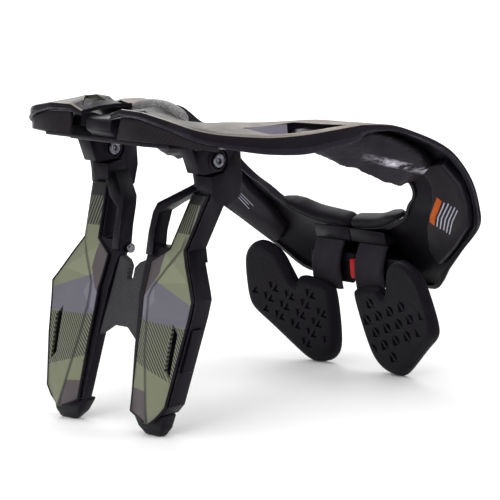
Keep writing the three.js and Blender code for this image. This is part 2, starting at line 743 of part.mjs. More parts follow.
// Rubber bridge between the struts: half outline as heights, and widths where it isn't cut to the frame
const bridgeHigh = 0.513;
const bridgeLow = 0.27;
const bridgeNotch = [[0.05, 0.5], [0.022, 0.483], [0.022, 0.446]];
const bridgeFoot = [0.055, 0.306];

function buildBridge() {
  const edge = (height) => [strutAt(height, 'rim') - clearance / halfWidth, height];
  const half = [...bridgeNotch.slice().reverse(), edge(bridgeHigh), edge(0.437), edge(0.414), edge(0.36),
    edge(bridgeLow), bridgeFoot];
  const outline = [...half, ...half.slice().reverse().map(([x, z]) => [-x, z])];
  const faceY = (height) => frameBack(strutAt(height, 'back')) - 1;
  const highY = faceY(bridgeHigh);
  const lowY = faceY(bridgeLow);
  const ring = (depth) => outline.map(([x, height]) => {
    const share = (height - bridgeLow) / (bridgeHigh - bridgeLow);
    const y = lowY + (highY - lowY) * share - depth;
    return new THREE.Vector3(x * halfWidth, y, height * tableHeight);
  });
  return loft([ring(bridgeThickness), ring(0)]);
}

const screwHeight = 0.53;
const screwRadius = 3.4;
const screwLength = 2.8;

function buildScrew() {
  const y = frameBack(strutAt(screwHeight, 'back')) - strutDepth / 2;
  const end = strutTable[shoulderRow].rim * halfWidth - clearance;
  return barrelX(screwRadius, end - screwLength, end, y, screwHeight * tableHeight);
}

// The whole brace, centred over the ground
const group = new THREE.Group();
const brace = new THREE.Group();
group.add(brace);

function place(name, geometry, kind) {
  const mesh = new THREE.Mesh(geometry, new THREE.MeshStandardMaterial(finish[kind]));
  mesh.name = name;
  brace.add(mesh);
}

const mirrored = {
  table_shell: [buildShell, 'blackPlastic'],
  rear_skirt: [buildSkirt, 'greyPlastic'],
  shoulder_pad: [buildShoulderPad, 'fabric'],
  side_panel: [buildPanel, 'greyPlastic'],
  collar_pad: [buildCollarPad, 'foam'],
  arm_block: [buildArmBlock, 'blackPlastic'],
  chest_arm: [buildArm, 'greyPlastic'],
  front_block: [buildFrontBlock, 'blackPlastic'],
  chest_pad: [buildChestPad, 'foam'],
  strut_bracket: [buildBracket, 'greyPlastic'],
  strut_plate: [buildPlate, 'camoPlastic'],
  strut_boot: [buildBoot, 'rubber'],
  strut_clip: [buildClip, 'rubber'],
  bridge_screw: [buildScrew, 'steel'],
};
for (const [name, [build, kind]] of Object.entries(mirrored)) {
  const geometry = build();
  place(`left_${name}`, geometry, kind);
  place(`right_${name}`, mirrorX(geometry), kind);
}
for (const [name, side] of [['left', 1], ['right', -1]]) {
  place(`${name}_strut`, buildStrut(side), 'blackPlastic');
  place(`${name}_pivot_bolt`, buildBolt(side), 'steel');
}
place('rear_base', buildBase(), 'blackPlastic');
place('rear_centre_plate', buildCentrePlate(), 'tanPlastic');
place('rear_collar_pad', buildRearPad(), 'fabric');
place('strut_bridge', buildBridge(), 'rubber');
place('release_cheek', buildCheek(), 'blackPlastic');
place('release_lever', buildLever(), 'red');

brace.updateMatrixWorld(true);
const bounds = new THREE.Box3().setFromObject(brace);
brace.position.y = -(bounds.min.y + bounds.max.y) / 2;

export default group;
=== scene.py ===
"""Looks of the neck brace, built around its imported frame.

Shapes are drawn in millimetres, and raw() places them in the frame, in metres.
"""

import json
import math

import bmesh
import bpy
from mathutils import Matrix, Vector, noise
from mathutils.bvhtree import BVHTree
from mathutils.geometry import delaunay_2d_cdt

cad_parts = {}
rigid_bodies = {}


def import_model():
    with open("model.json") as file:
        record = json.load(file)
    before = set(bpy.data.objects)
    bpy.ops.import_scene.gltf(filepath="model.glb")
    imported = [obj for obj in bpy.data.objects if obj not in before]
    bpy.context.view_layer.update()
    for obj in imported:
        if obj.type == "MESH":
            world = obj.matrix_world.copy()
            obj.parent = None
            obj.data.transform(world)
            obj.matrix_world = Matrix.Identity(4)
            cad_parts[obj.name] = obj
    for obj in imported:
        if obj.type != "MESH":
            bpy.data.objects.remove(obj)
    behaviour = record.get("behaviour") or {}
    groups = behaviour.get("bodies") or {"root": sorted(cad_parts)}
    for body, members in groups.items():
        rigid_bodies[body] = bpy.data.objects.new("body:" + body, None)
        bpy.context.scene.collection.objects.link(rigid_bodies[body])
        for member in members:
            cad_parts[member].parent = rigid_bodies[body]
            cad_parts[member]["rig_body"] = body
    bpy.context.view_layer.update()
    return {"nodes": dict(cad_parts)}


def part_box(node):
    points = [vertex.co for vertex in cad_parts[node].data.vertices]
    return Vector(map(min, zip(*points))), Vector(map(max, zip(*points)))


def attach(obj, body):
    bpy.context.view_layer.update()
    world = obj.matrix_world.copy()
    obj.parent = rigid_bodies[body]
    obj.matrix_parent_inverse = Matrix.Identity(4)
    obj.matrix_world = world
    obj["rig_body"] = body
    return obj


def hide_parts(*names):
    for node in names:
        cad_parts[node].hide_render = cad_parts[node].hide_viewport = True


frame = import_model()
NODES = frame["nodes"]
MM = 0.001

# The drawing's own origin is on the line of symmetry, level with the ground
PIVOT_Y, PIVOT_Z = 6.6, 182.4
bolt_low, bolt_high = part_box("left_pivot_bolt")
SHIFT = (bolt_low.y + bolt_high.y) / 2 - PIVOT_Y * MM
SIDES = (("left", 1), ("right", -1))


def raw(x, y, z):
    """A point of the drawing, given in millimetres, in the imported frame."""
    return Vector((x * MM, y * MM + SHIFT, z * MM))


def hue(code):
    """A colour from its six hex digits, as linear light."""
    parts = [int(code[i : i + 2], 16) / 255 for i in (0, 2, 4)]
    bent = [c / 12.92 if c <= 0.04045 else ((c + 0.055) / 1.055) ** 2.4 for c in parts]
    return (*bent, 1.0)


# ---- materials

# A Mix node's sockets for colours
MIX_SHARE, MIX_LOW, MIX_HIGH, MIX_RESULT = 0, 6, 7, 2


class Graph:
    """A material while its nodes are wired. A dark one has faintly violet highlights."""

    def __init__(self, name, dark=False):
        self.dark = dark
        self.material = bpy.data.materials.new(name)
        self.material.use_nodes = True
        self.tree = self.material.node_tree
        self.shader = self.tree.nodes["Principled BSDF"]
        self.place = self.node("TexCoord").outputs["Object"]

    def node(self, kind, values=None, **settings):
        made = self.tree.nodes.new("ShaderNode" + kind)
        for key, value in settings.items():
            setattr(made, key, value)
        for key, value in (values or {}).items():
            self.put(made.inputs[key], value)
        return made

    def put(self, socket, value):
        if isinstance(value, bpy.types.NodeSocket):
            self.tree.links.new(value, socket)
        else:
            socket.default_value = value

    def axis(self, letter):
        """One coordinate of the point on the object."""
        return self.node("SeparateXYZ", {"Vector": self.place}).outputs[letter]

    def math(self, operation, *values):
        return self.node("Math", dict(enumerate(values)), operation=operation).outputs[0]

    def plus(self, *values):
        return self.math("ADD", *values)

    def times(self, *values):
        return self.math("MULTIPLY", *values)

    def mix(self, share, low, high):
        made = self.node("Mix", data_type="RGBA")
        for at, value in ((MIX_SHARE, share), (MIX_LOW, low), (MIX_HIGH, high)):
            self.put(made.inputs[at], value)
        return made.outputs[MIX_RESULT]

    def ramp(self, value, stops, mode="LINEAR"):
        made = self.node("ValToRGB", {"Fac": value})
        made.color_ramp.interpolation = mode
        for n, (at, colour) in enumerate(stops):
            ends = made.color_ramp.elements
            stop = ends[n] if n < 2 else ends.new(at)
            stop.position = at
            stop.color = colour
        return made.outputs["Color"]

    def span(self, value, low, high, to_low=0.0, to_high=1.0):
        """The value's place between low and high, held inside the target range."""
        made = self.node("MapRange", {"Value": value, "From Min": low, "From Max": high,
                                      "To Min": to_low, "To Max": to_high})
        return made.outputs["Result"]

    def noise(self, scale, detail=2.0, roughness=0.5, stretch=None):
        source = self.place
        if stretch:
            source = self.node("Mapping", {"Vector": source, "Scale": stretch}).outputs["Vector"]
        made = self.node("TexNoise", {"Vector": source, "Scale": scale, "Detail": detail,
                                      "Roughness": roughness})
        return made.outputs["Fac"]

    def lines(self, direction, pitch):
        """0 to 1 and back once in every pitch along a direction."""
        along = self.node("VectorMath", {0: self.place, 1: Vector(direction).normalized()},
                          operation="DOT_PRODUCT").outputs["Value"]
        turn = self.times(along, 2 * math.pi / pitch)
        return self.span(self.math("SINE", turn), -1.0, 1.0)

    def bump(self, height, distance, normal=None):
        values = {"Height": height, "Distance": distance}
        if normal is not None:
            values["Normal"] = normal
        return self.node("Bump", values).outputs["Normal"]

    def edges(self, radius):
        """Near 1 on outer edges, from the bevelled and the true normal."""
        soft = self.node("Bevel", {"Radius": radius}, samples=4).outputs["Normal"]
        true = self.node("NewGeometry").outputs["Normal"]
        same = self.node("VectorMath", {0: soft, 1: true}, operation="DOT_PRODUCT").outputs["Value"]
        return self.span(same, 0.995, 0.88)

    def finish(self, **values):
        """Sets the shader's inputs, with _ for each space in their names."""
        if self.dark:
            self.shader.inputs["Specular Tint"].default_value = (0.92, 0.82, 1.0, 1.0)
        for key, value in values.items():
            self.put(self.shader.inputs[key.replace("_", " ")], value)
        return self.material


def plastic(name, dark, light, rough, wear_and_highlight=0.25):
    """Moulded plastic: a slow drift of shade, a fine grain, and faint scuffs on edges painted
    paler, partly as worn edges and partly as a painted highlight along them.
    """
    g = Graph(name, dark=dark < "30")
    drift = g.noise(26, 4.0, 0.6)
    shade = g.mix(g.span(drift, 0.3, 0.7), hue(dark), hue(light))
    scuff = g.noise(90, 6.0, 0.75, stretch=(1.0, 0.35, 2.2))
    # Scuffed edges painted paler: partly worn edges, partly a painted highlight
    edge_wear_and_highlight = g.times(g.edges(0.0011), g.span(scuff, 0.42, 0.75))
    shade = g.mix(g.times(edge_wear_and_highlight, wear_and_highlight), shade, hue("8b8794"))
    g.shader.inputs["Specular IOR Level"].default_value = 0.13
    haze = g.span(g.noise(48, 5.0, 0.7), 0.3, 0.75, rough - 0.06, rough + 0.09)
    return g.finish(Base_Color=shade, Roughness=haze, Normal=g.bump(g.noise(2600, 1.0), 0.00012))


def grip_rubber():
    """Rubber with a fine cross-hatched grip."""
    g = Graph("grip_rubber")
    pitch = 0.0021
    grid = g.times(g.lines((1.0, 0.1, 1.0), pitch), g.lines((1.0, 0.1, -1.0), pitch))
    drift = g.span(g.noise(60, 4.0, 0.6), 0.3, 0.7)
    shade = g.mix(drift, hue("19181b"), hue("262429"))
    shade = g.mix(g.times(grid, 0.35), shade, hue("4c4a52"))
    return g.finish(Base_Color=shade, Roughness=0.78, Normal=g.bump(grid, 0.0004))


def steel():
    """Brushed steel."""
    g = Graph("steel")
    brushed = g.noise(900, 3.0, 0.6, stretch=(0.2, 1.0, 1.0))
    rough = g.span(brushed, 0.3, 0.7, 0.12, 0.32)
    shade = g.mix(g.span(g.noise(300, 4.0), 0.35, 0.7), hue("5a5a60"), hue("77777e"))
    return g.finish(Base_Color=shade, Metallic=1.0, Roughness=rough,
                    Normal=g.bump(brushed, 0.00004))


# The plates' crease: height, and distance from the line of symmetry, in millimetres
CREASE = [(10, 49.5), (22, 46), (57, 37), (80, 33), (92, 32), (97, 33.1),
          (114, 46), (123, 53), (159, 60)]
CREASE_TOP, CREASE_REACH = 170.0, 100.0


def camo(name, shift):
    """Olive plate with straight-edged grey, brown and pinstriped patches, and a crease sunk
    shallowly in the bump with painted shade along it.

    The patches are bounded by slanting lines, and shift lowers them, in millimetres.
    """
    g = Graph(name)
    across = g.times(g.math("ABSOLUTE", g.axis("X")), 1000.0)
    high = g.plus(g.times(g.axis("Z"), 1000.0), shift)
    under = lambda level, slope: g.math("LESS_THAN", high, g.plus(level, g.times(across, slope)))
    over = lambda level, slope: g.math("SUBTRACT", 1.0, under(level, slope))
    both = lambda *masks: masks[0] if len(masks) == 1 else g.times(masks[0], both(*masks[1:]))
    shade = g.mix(both(under(140.0, -0.55), over(96.0, 0.1)), hue("6d705a"), hue("767962"))
    shade = g.mix(both(under(112.0, -0.3), over(74.0, 0.0)), shade, hue("5d5c66"))
    middle = both(under(168.0, -2.0), under(116.0, -0.3), over(50.0, 1.0))
    shade = g.mix(middle, shade, hue("696874"))
    inner = g.math("LESS_THAN", across, g.plus(38.0, g.times(high, -0.01)))
    shade = g.mix(both(inner, over(51.0, 1.5)), shade, hue("494244"))
    stripes = g.math("GREATER_THAN", g.lines((0.72, 0.0, -0.69), 0.00205), 0.46)
    banded = both(under(77.0, -0.05), over(55.0, -0.26))
    shade = g.mix(banded, shade, hue("6d705a"))
    shade = g.mix(both(banded, stripes), shade, hue("28262a"))
    shade = g.mix(both(under(56.0, -0.4), over(30.0, 0.45)), shade, hue("54525c"))
    rows = [(z / CREASE_TOP, (*[x / CREASE_REACH] * 3, 1.0)) for z, x in CREASE]
    line = g.times(g.ramp(g.math("DIVIDE", high, CREASE_TOP), rows), CREASE_REACH)
    tip = both(g.math("LESS_THAN", across, line), under(33.0, -0.08))
    shade = g.mix(tip, shade, hue("4a4345"))
    neck = over(133.0, 0.0)
    pins = g.math("GREATER_THAN", g.lines((1.0, 0.0, 0.1), 0.0026), 0.55)
    pinned = g.mix(g.times(pins, under(152.0, 0.0)), hue("141216"), hue("5f6250"))
    shade = g.mix(neck, shade, pinned)
    # The crease: a shallow dip in the bump, with painted shade darkening it
    away = g.math("ABSOLUTE", g.math("SUBTRACT", across, line))
    groove_and_shade = g.times(g.span(away, 1.9, 0.3), g.span(high, 136.0, 128.0))
    shade = g.mix(g.times(groove_and_shade, 0.75), shade, hue("17161b"))
    # Edges painted paler: partly worn edges, partly a painted highlight
    edge_wear_and_highlight = g.times(g.edges(0.0008), 0.5)
    shade = g.mix(edge_wear_and_highlight, shade, hue("8a8977"))
    g.put(g.shader.inputs["Roughness"], g.span(g.noise(160, 5.0, 0.7), 0.3, 0.7, 0.38, 0.5))
    g.shader.inputs["Specular IOR Level"].default_value = 0.35
    dip = g.bump(g.math("SUBTRACT", 1.0, groove_and_shade), 0.0009)
    return g.finish(Base_Color=shade, Normal=g.bump(g.noise(2600, 1.0), 0.00008, normal=dip))


def table_top():
    """Tan sheet over the table: dark patches at the back, fine slanting lines, edges painted cream
    as a highlight, black in front.
    """
    g = Graph("table_top")
    drift = g.noise(14, 4.0, 0.6)
    base = g.mix(g.span(drift, 0.3, 0.7), hue("443f3a"), hue("55504a"))
    level = g.plus(g.axis("Y"), g.span(g.noise(22, 3.0), 0.0, 1.0, -0.012, 0.012))
    warm = g.span(level, 0.075, 0.02)
    base = g.mix(g.times(warm, 0.75), base, hue("64503f"))
    pin = g.math("GREATER_THAN", g.lines((1.0, 0.55, 0.0), 0.0023), 0.62)
    band = g.times(g.span(level, 0.062, 0.058), g.span(level, 0.034, 0.038))
    base = g.mix(g.times(g.times(pin, band), 0.7), base, hue("4d4741"))
    behind = g.span(level, 0.092, 0.096)
    cells = g.node("TexVoronoi", {"Vector": g.place, "Scale": 30.0})
    tone = g.node("SeparateColor", {"Color": cells.outputs["Color"]}).outputs["Red"]
    tones = [(0.0, hue("25241f")), (0.5, hue("3b3a30")), (0.75, hue("1a1817"))]
    patch = g.ramp(tone, tones, "CONSTANT")
    base = g.mix(g.times(behind, 0.55), base, patch)
    # Edges painted cream: a painted highlight where the bevelled edges catch the light
    edge_wear_and_highlight = g.times(g.edges(0.0012), 0.9)
    base = g.mix(edge_wear_and_highlight, base, hue("a3998c"))
    slant = g.times(g.math("ABSOLUTE", g.axis("X")), 0.35)
    front = g.span(g.plus(g.axis("Y"), slant), -0.014, -0.024)
    base = g.mix(front, base, hue("0c0a0e"))
    g.shader.inputs["Specular IOR Level"].default_value = 0.28
    g.put(g.shader.inputs["Roughness"], g.span(g.noise(60, 5.0, 0.7), 0.3, 0.75, 0.34, 0.5))
    return g.finish(Base_Color=base, Normal=g.bump(g.noise(2600, 1.0), 0.00006))


def pad_foam():
    """Moulded foam skin, with fine parallel ribs on the upper part of the chest pads."""
    g = Graph("pad_foam", dark=True)
    drift = g.span(g.noise(40, 4.0, 0.6), 0.3, 0.7)
    shade = g.mix(drift, hue("08070a"), hue("0e0c11"))
    ribs = g.lines((0.8, 0.0, 0.62), 0.00135)
    where = g.times(g.span(g.axis("Z"), 0.05, 0.062), g.span(g.axis("Z"), 0.098, 0.094))
    height = g.times(ribs, where)
    shade = g.mix(g.times(height, 0.25), shade, hue("1f1c25"))
    grains = g.bump(g.noise(1500, 2.0), 0.00012)
    g.shader.inputs["Specular IOR Level"].default_value = 0.1
    return g.finish(Base_Color=shade, Roughness=0.5, Normal=g.bump(height, 0.0005, normal=grains))


def strap():
    """Fine woven strap in dark grey."""
    g = Graph("strap", dark=True)
    weave = g.times(g.lines((1, 0, 0), 0.0009), g.lines((0, 0, 1), 0.0007))
    drift = g.span(g.noise(45, 4.0, 0.65), 0.3, 0.7)
    g.shader.inputs["Specular IOR Level"].default_value = 0.18
    shade = g.mix(drift, hue("1b191d"), hue("262428"))
    shade = g.mix(g.times(weave, 0.22), shade, hue("4b4a50"))
    return g.finish(Base_Color=shade, Roughness=0.8, Normal=g.bump(weave, 0.00018))


def lining():
    """Dark glossy lining with long folds, painted lighter towards the bottom, and a painted silvery
    highlight in a band where the folds catch the light.
    """
    g = Graph("lining", dark=True)
    long = g.noise(34, 5.0, 0.7, stretch=(3.2, 0.55, 2.6))
    fine = g.noise(190, 4.0, 0.7, stretch=(2.4, 0.4, 2.0))
    folds = g.plus(g.times(long, 0.75), g.times(fine, 0.25))
    low = g.plus(g.axis("Z"), g.times(g.axis("Y"), -0.33))
    # The band that holds the painted silvery highlight on the folds
    near = g.times(g.span(low, 0.1862, 0.1842), g.span(low, 0.1795, 0.1818))
    near = g.times(near, g.span(g.axis("Y"), -0.016, -0.034))
    painted_fold_highlight = g.times(g.span(folds, 0.46, 0.62), near)
    shade = g.mix(g.times(g.span(folds, 0.3, 0.7), g.span(low, 0.194, 0.184)),
                  hue("060507"), hue("1f1c21"))
    shade = g.mix(painted_fold_highlight, shade, hue("dcd8e4"))
    g.shader.inputs["Specular IOR Level"].default_value = 0.22
    return g.finish(Base_Color=shade, Roughness=0.32, Normal=g.bump(folds, 0.0022))


def ribbed():
    """The skirt's plastic, with shallow slanting ribs."""
    g = Graph("ribbed", dark=True)
    ribs = g.lines((1.0, 0.9, 1.3), 0.0052)
    sharp = g.span(ribs, 0.42, 0.58)
    drift = g.span(g.noise(30, 4.0, 0.6), 0.3, 0.7)
    g.shader.inputs["Specular IOR Level"].default_value = 0.18
    shade = g.mix(drift, hue("0f0c0d"), hue("1a1616"))
    shade = g.mix(g.times(sharp, 0.3), shade, hue("15131a"))
    return g.finish(Base_Color=shade, Roughness=0.5, Normal=g.bump(sharp, 0.0005))


def loop():
    """Grey looped fabric bound in black at its left end."""
    g = Graph("loop")
    curls = g.node("TexVoronoi", {"Vector": g.place, "Scale": 900.0}).outputs["Distance"]
    fuzz = g.noise(1500, 4.0, 0.75)
    high = g.plus(g.times(curls, 0.6), g.times(fuzz, 0.5))
    shade = g.mix(g.span(high, 0.3, 0.85), hue("2e2d31"), hue("a3a1a0"))
    slow = g.span(g.noise(90, 4.0, 0.7), 0.35, 0.7)
    shade = g.mix(g.times(slow, 0.55), shade, hue("48464b"))
    bound = g.span(g.axis("X"), 0.0292, 0.0295)
    shade = g.mix(bound, shade, hue("1a191d"))
    g.shader.inputs["Sheen Weight"].default_value = 0.35
    g.put(g.shader.inputs["Roughness"], g.span(bound, 0.0, 1.0, 0.95, 0.3))
    return g.finish(Base_Color=shade, Normal=g.bump(high, 0.0006))


def panel():
    """The raised side panel's black plastic, with edges painted paler, partly as worn edges and
    partly as a painted highlight.
    """
    g = Graph("panel", dark=True)
    drift = g.span(g.noise(26, 4.0, 0.6), 0.3, 0.7)
    g.shader.inputs["Specular IOR Level"].default_value = 0.18
    shade = g.mix(drift, hue("09070b"), hue("100d12"))
    edge_wear_and_highlight = g.times(g.edges(0.0012), 0.3)
    shade = g.mix(edge_wear_and_highlight, shade, hue("8b8794"))
    return g.finish(Base_Color=shade, Roughness=0.46, Normal=g.bump(g.noise(2600, 1.0), 0.0001))


MATERIALS = {
    "black": plastic("black_plastic", "08070b", "100d13", 0.33),
    "boot": plastic("boot_rubber", "09080b", "110f13", 0.42, wear_and_highlight=0.15),
    "red": plastic("red_plastic", "a3161c", "c8242a", 0.42, wear_and_highlight=0.1),
    "dent": plastic("dent_floor", "1d1a26", "262331", 0.45, wear_and_highlight=0.0),
    "orange": plastic("orange_print", "a8480f", "c05a1b", 0.5, wear_and_highlight=0.0),
    "pale": plastic("pale_print", "9a9aa8", "b4b4c0", 0.5, wear_and_highlight=0.0),
    # Lighter than the black plastic: a painted highlight along the rim's bead
    "bead": plastic("rim_bead_highlight", "141218", "1f1c23", 0.26, wear_and_highlight=0.6),
    # A painted cream highlight along the shell's top outer edge
    "edge": plastic("cream_edge_highlight", "6f685f", "877f75", 0.35),
    # Pale grey-lavender: a painted highlight on the window's slanted face
    "facet": plastic("window_facet", "5c5a66", "6b6976", 0.4),
    "olive": plastic("olive_inlay", "2b2d22", "3a3d2e", 0.5, wear_and_highlight=0.2),
    "camo_left": camo("camo_left", 1.5), "camo_right": camo("camo_right", -1.0),
    "rubber": grip_rubber(), "steel": steel(), "table_top": table_top(), "pad_foam": pad_foam(),
    "strap": strap(), "lining": lining(), "ribbed": ribbed(), "loop": loop(), "panel": panel(),
}


# ---- shapes

WELD = 2e-6


def link(name, mesh, materials):
    """A piece of the scene. Faces keep their slots when the mesh has no materials yet."""
    piece = bpy.data.objects.new(name, mesh)
    bpy.context.scene.collection.objects.link(piece)
    if mesh.materials:
        mesh.materials.clear()
    for key in materials:
        mesh.materials.append(MATERIALS[key])
    return piece


def apply_modifiers(piece):
    """Puts the result of the piece's modifiers in place of its mesh."""
    graph = bpy.context.evaluated_depsgraph_get()
    graph.update()
    mesh = bpy.data.meshes.new_from_object(piece.evaluated_get(graph))
    piece.modifiers.clear()
    piece.data = mesh


def smooth(piece, degrees=32):
    mesh = piece.data
    for polygon in mesh.polygons:
        polygon.use_smooth = True
    mesh.set_sharp_from_angle(angle=math.radians(degrees))


def stands_for(piece, node):
    """The piece moves with a CAD node's body and takes the node's place."""
    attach(piece, NODES[node]["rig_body"])
    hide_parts(node)


def solid_copy(node, name, flat=None):
    """A CAD node's mesh, welded, and with faces joined that differ by less than flat degrees."""
    bm = bmesh.new()
    bm.from_mesh(NODES[node].data)
    bmesh.ops.remove_doubles(bm, verts=bm.verts, dist=WELD)
    if flat:
        bmesh.ops.dissolve_limit(bm, angle_limit=math.radians(flat), verts=bm.verts, edges=bm.edges)
    mesh = bpy.data.meshes.new(name)
    bm.to_mesh(mesh)
    bm.free()
    return mesh


def dressed(node, material, bevel=0.8, limit=28):
    """A copy of a CAD node's solid, with edges sharper than limit degrees rounded by bevel mm."""
    piece = link(node + "_form", solid_copy(node, node + "_form", flat=1.0), [material])
    rounding = piece.modifiers.new("edges", "BEVEL")
    rounding.width = bevel * MM
    rounding.segments = 3
    rounding.limit_method = "ANGLE"
    rounding.angle_limit = math.radians(limit)
    rounding.use_clamp_overlap = True
    rounding.harden_normals = True
    apply_modifiers(piece)
    smooth(piece, 40)
    stands_for(piece, node)


# ---- the table shells

HALF_WIDTH, FRONT_REACH, REAR_REACH, TABLE_HEIGHT = 145, 186, 58, 222
# Per station: outer edge, inner edge, crown, rim wall and inner lip, as shares of the sizes above
STATIONS = [
    (0.11, 1, 0.982, 0.11, 0.24, 0.978, 0.006, 0.018, 0.014),
    (0.193, 1, 1, 0.193, 0.2, 0.948, 0.04, 0.023, 0.02),
    (0.345, 1, 0.998, 0.3, 0.19, 0.93, 0.03, 0.025, 0.02),
    (0.497, 0.966, 0.981, 0.4, 0.12, 0.935, 0.016, 0.029, 0.022),
    (0.593, 0.855, 0.959, 0.448, 0.017, 0.936, 0.004, 0.032, 0.024),
    (0.634, 0.731, 0.944, 0.476, -0.027, 0.934, 0.003, 0.036, 0.025),
    (0.676, 0.524, 0.928, 0.497, -0.065, 0.93, 0.003, 0.041, 0.026),
    (0.731, 0.195, 0.912, 0.514, -0.108, 0.926, 0.003, 0.05, 0.028),
    (0.772, -0.028, 0.902, 0.531, -0.161, 0.922, 0.003, 0.056, 0.03),
    (0.821, -0.142, 0.9, 0.548, -0.226, 0.918, 0.003, 0.063, 0.03),
    (0.869, -0.247, 0.905, 0.559, -0.29, 0.914, 0.002, 0.056, 0.03),
    (0.9, -0.333, 0.909, 0.566, -0.355, 0.909, 0.002, 0.05, 0.03),
    (0.91, -0.376, 0.908, 0.572, -0.392, 0.903, 0.002, 0.029, 0.03),
    (0.938, -0.484, 0.895, 0.583, -0.462, 0.883, 0.002, 0.02, 0.028),
    (0.959, -0.586, 0.862, 0.6, -0.548, 0.83, 0.004, 0.02, 0.026),
    (0.972, -0.691, 0.817, 0.621, -0.645, 0.777, 0.008, 0.02, 0.024),
    (0.986, -0.758, 0.769, 0.638, -0.72, 0.727, 0.011, 0.02, 0.024),
    (0.993, -0.823, 0.689, 0.638, -0.785, 0.662, 0.014, 0.02, 0.024),
    (1, -0.849, 0.609, 0.593, -0.823, 0.615, 0.014, 0.02, 0.024),
    (1, -0.849, 0.539, 0.524, -0.847, 0.581, 0.014, 0.02, 0.024),
    (0.821, -0.898, 0.455, 0.468, -0.869, 0.548, 0.018, 0.02, 0.024),
    (0.645, -0.949, 0.374, 0.378, -0.892, 0.52, 0.018, 0.02, 0.024),
    (0.469, -1, 0.293, 0.267, -0.912, 0.495, 0.018, 0.02, 0.024),
    (0.234, -1.011, 0.315, 0.138, -0.926, 0.483, 0.018, 0.02, 0.024),
    (0, -1.016, 0.338, 0, -0.94, 0.473, 0.018, 0.02, 0.024),
]
CROWN_LOW, CROWN_HIGH = 0.3, 0.62
SHELL_WALL = 2.5
STRAIGHT_UNTIL = 3
STEPS = 5


def spot(x, y, z):
    """A point from shares of the table's sizes, in millimetres."""
    reach = FRONT_REACH if y < 0 else REAR_REACH
    return Vector((x * HALF_WIDTH, y * reach, z * TABLE_HEIGHT))


def catmull(rows, k, t):
    """Between rows k and k + 1 of numbers, on a Catmull-Rom curve through all of them."""
    o, p = rows[max(k - 1, 0)], rows[k]
    q, r = rows[min(k + 1, len(rows) - 1)], rows[min(k + 2, len(rows) - 1)]
    return [0.5 * (2 * b + (c - a) * t + (2 * a - 5 * b + 4 * c - d) * t * t
                   + (3 * b - a - 3 * c + d) * t * t * t) for a, b, c, d in zip(o, p, q, r)]


def spline(rows, at):
    """Like catmull, but straight up to STRAIGHT_UNTIL."""
    k = min(int(at), len(rows) - 2)
    t = at - k
    if k < STRAIGHT_UNTIL or t == 0:
        return [p + (q - p) * t for p, q in zip(rows[k], rows[k + 1])]
    return catmull(rows, k, t)


# Share of the rear crown that a half keeps, up to the station CROWN_UNTIL
CROWN_HELD = {"left": 1.0, "right": 0.0, "": 1.0}
CROWN_UNTIL = 5


def shell_stations(steps, side=""):
    """Outer and inner edge, crown, wall and lip in millimetres, with frames along the shell."""
    rows = []
    for k, (ox, oy, oz, ix, iy, iz, crown, wall, lip) in enumerate(STATIONS):
        if k < CROWN_UNTIL:
            crown *= CROWN_HELD[side]
        rows.append([*spot(ox, oy, oz), *spot(ix, iy, iz), crown * TABLE_HEIGHT,
                     wall * TABLE_HEIGHT, lip * TABLE_HEIGHT])
    rows[-1][0] = rows[-1][3] = 0.5
    count = (len(rows) - 1) * steps + 1
    made = []
    for n in range(count):
        row = spline(rows, n / steps)
        made.append({"k": n / steps, "outer": Vector(row[:3]), "inner": Vector(row[3:6]),
                     "crown": row[6], "wall": row[7], "lip": row[8]})
    for n, one in enumerate(made):
        before, after = made[max(n - 1, 0)], made[min(n + 1, count - 1)]
        along = (after["inner"] + after["outer"] - before["inner"] - before["outer"]) / 2
        if n in (0, count - 1):
            along = Vector((1 if n == 0 else -1, 0, 0))
        one["across"] = (one["outer"] - one["inner"]).normalized()
        one["down"] = one["across"].cross(along).normalized()
    return made


def on_shell(one, share, depth):
    """A point of the shell at a share of the way outwards, depth mm under its crowned top."""
    lift = one["crown"] * min(1, share / CROWN_LOW, (1 - share) / (1 - CROWN_HIGH))
    return one["inner"].lerp(one["outer"], share) + one["down"] * (depth - lift)


# The rim's bead: share of the wall's height, and how far it stands out
BEAD = ((0.66, 0.0), (0.74, 0.7), (0.86, 1.0), (0.96, 0.7), (1.0, 0.0))
TOP_SHARES = (0.97, 0.86, 0.74, 0.62, 0.46, 0.3, 0.2, 0.1, 0.03)
SHELL_MATERIALS = ["black", "table_top", "olive", "bead", "edge"]
# Stations: the top is tan from the first, its edge painted cream as a highlight until the second,
# and the bead is painted lighter than the black, as a highlight along it, between the last two
TAN_FROM, EDGE_HIGHLIGHT_UNTIL, BEAD_LIT_FROM, BEAD_LIT_UNTIL = 0.8, 15.2, 1, 19


def shell_ring(one):
    """The shell's section at one station: rim wall, top, inner lip and underside."""
    outer, inner, across, down = (one[k] for k in ("outer", "inner", "across", "down"))
    ring = [outer + down * one["wall"] * depth + across * out for depth, out in reversed(BEAD)]
    ring.append(outer + down * 0.5)
    ring += [on_shell(one, share, 0) for share in TOP_SHARES]
    lip = inner + down * one["lip"]
    ring += [inner.copy(), lip, lip + across * SHELL_WALL,
             inner + down * SHELL_WALL + across * SHELL_WALL]
    ring += [on_shell(one, share, SHELL_WALL) for share in (CROWN_LOW, CROWN_HIGH)]
    ring += [outer + down * SHELL_WALL - across * SHELL_WALL,
             outer + down * one["wall"] - across * SHELL_WALL]
    return ring


def to_mesh(name, points, faces, sign=1, slots=None):
    """A mesh from points of the drawing in millimetres, mirrored when sign is -1."""
    mesh = bpy.data.meshes.new(name)
    placed = [raw(p[0] * sign, p[1], p[2]) for p in points]
    if sign < 0:
        faces = [tuple(reversed(f)) for f in faces]
    mesh.from_pydata(placed, [], faces)
    if slots:
        for polygon, at in zip(mesh.polygons, slots):
            polygon.material_index = at
    bm = bmesh.new()
    bm.from_mesh(mesh)
    bmesh.ops.recalc_face_normals(bm, faces=bm.faces)
    bm.to_mesh(mesh)
    bm.free()
    return mesh


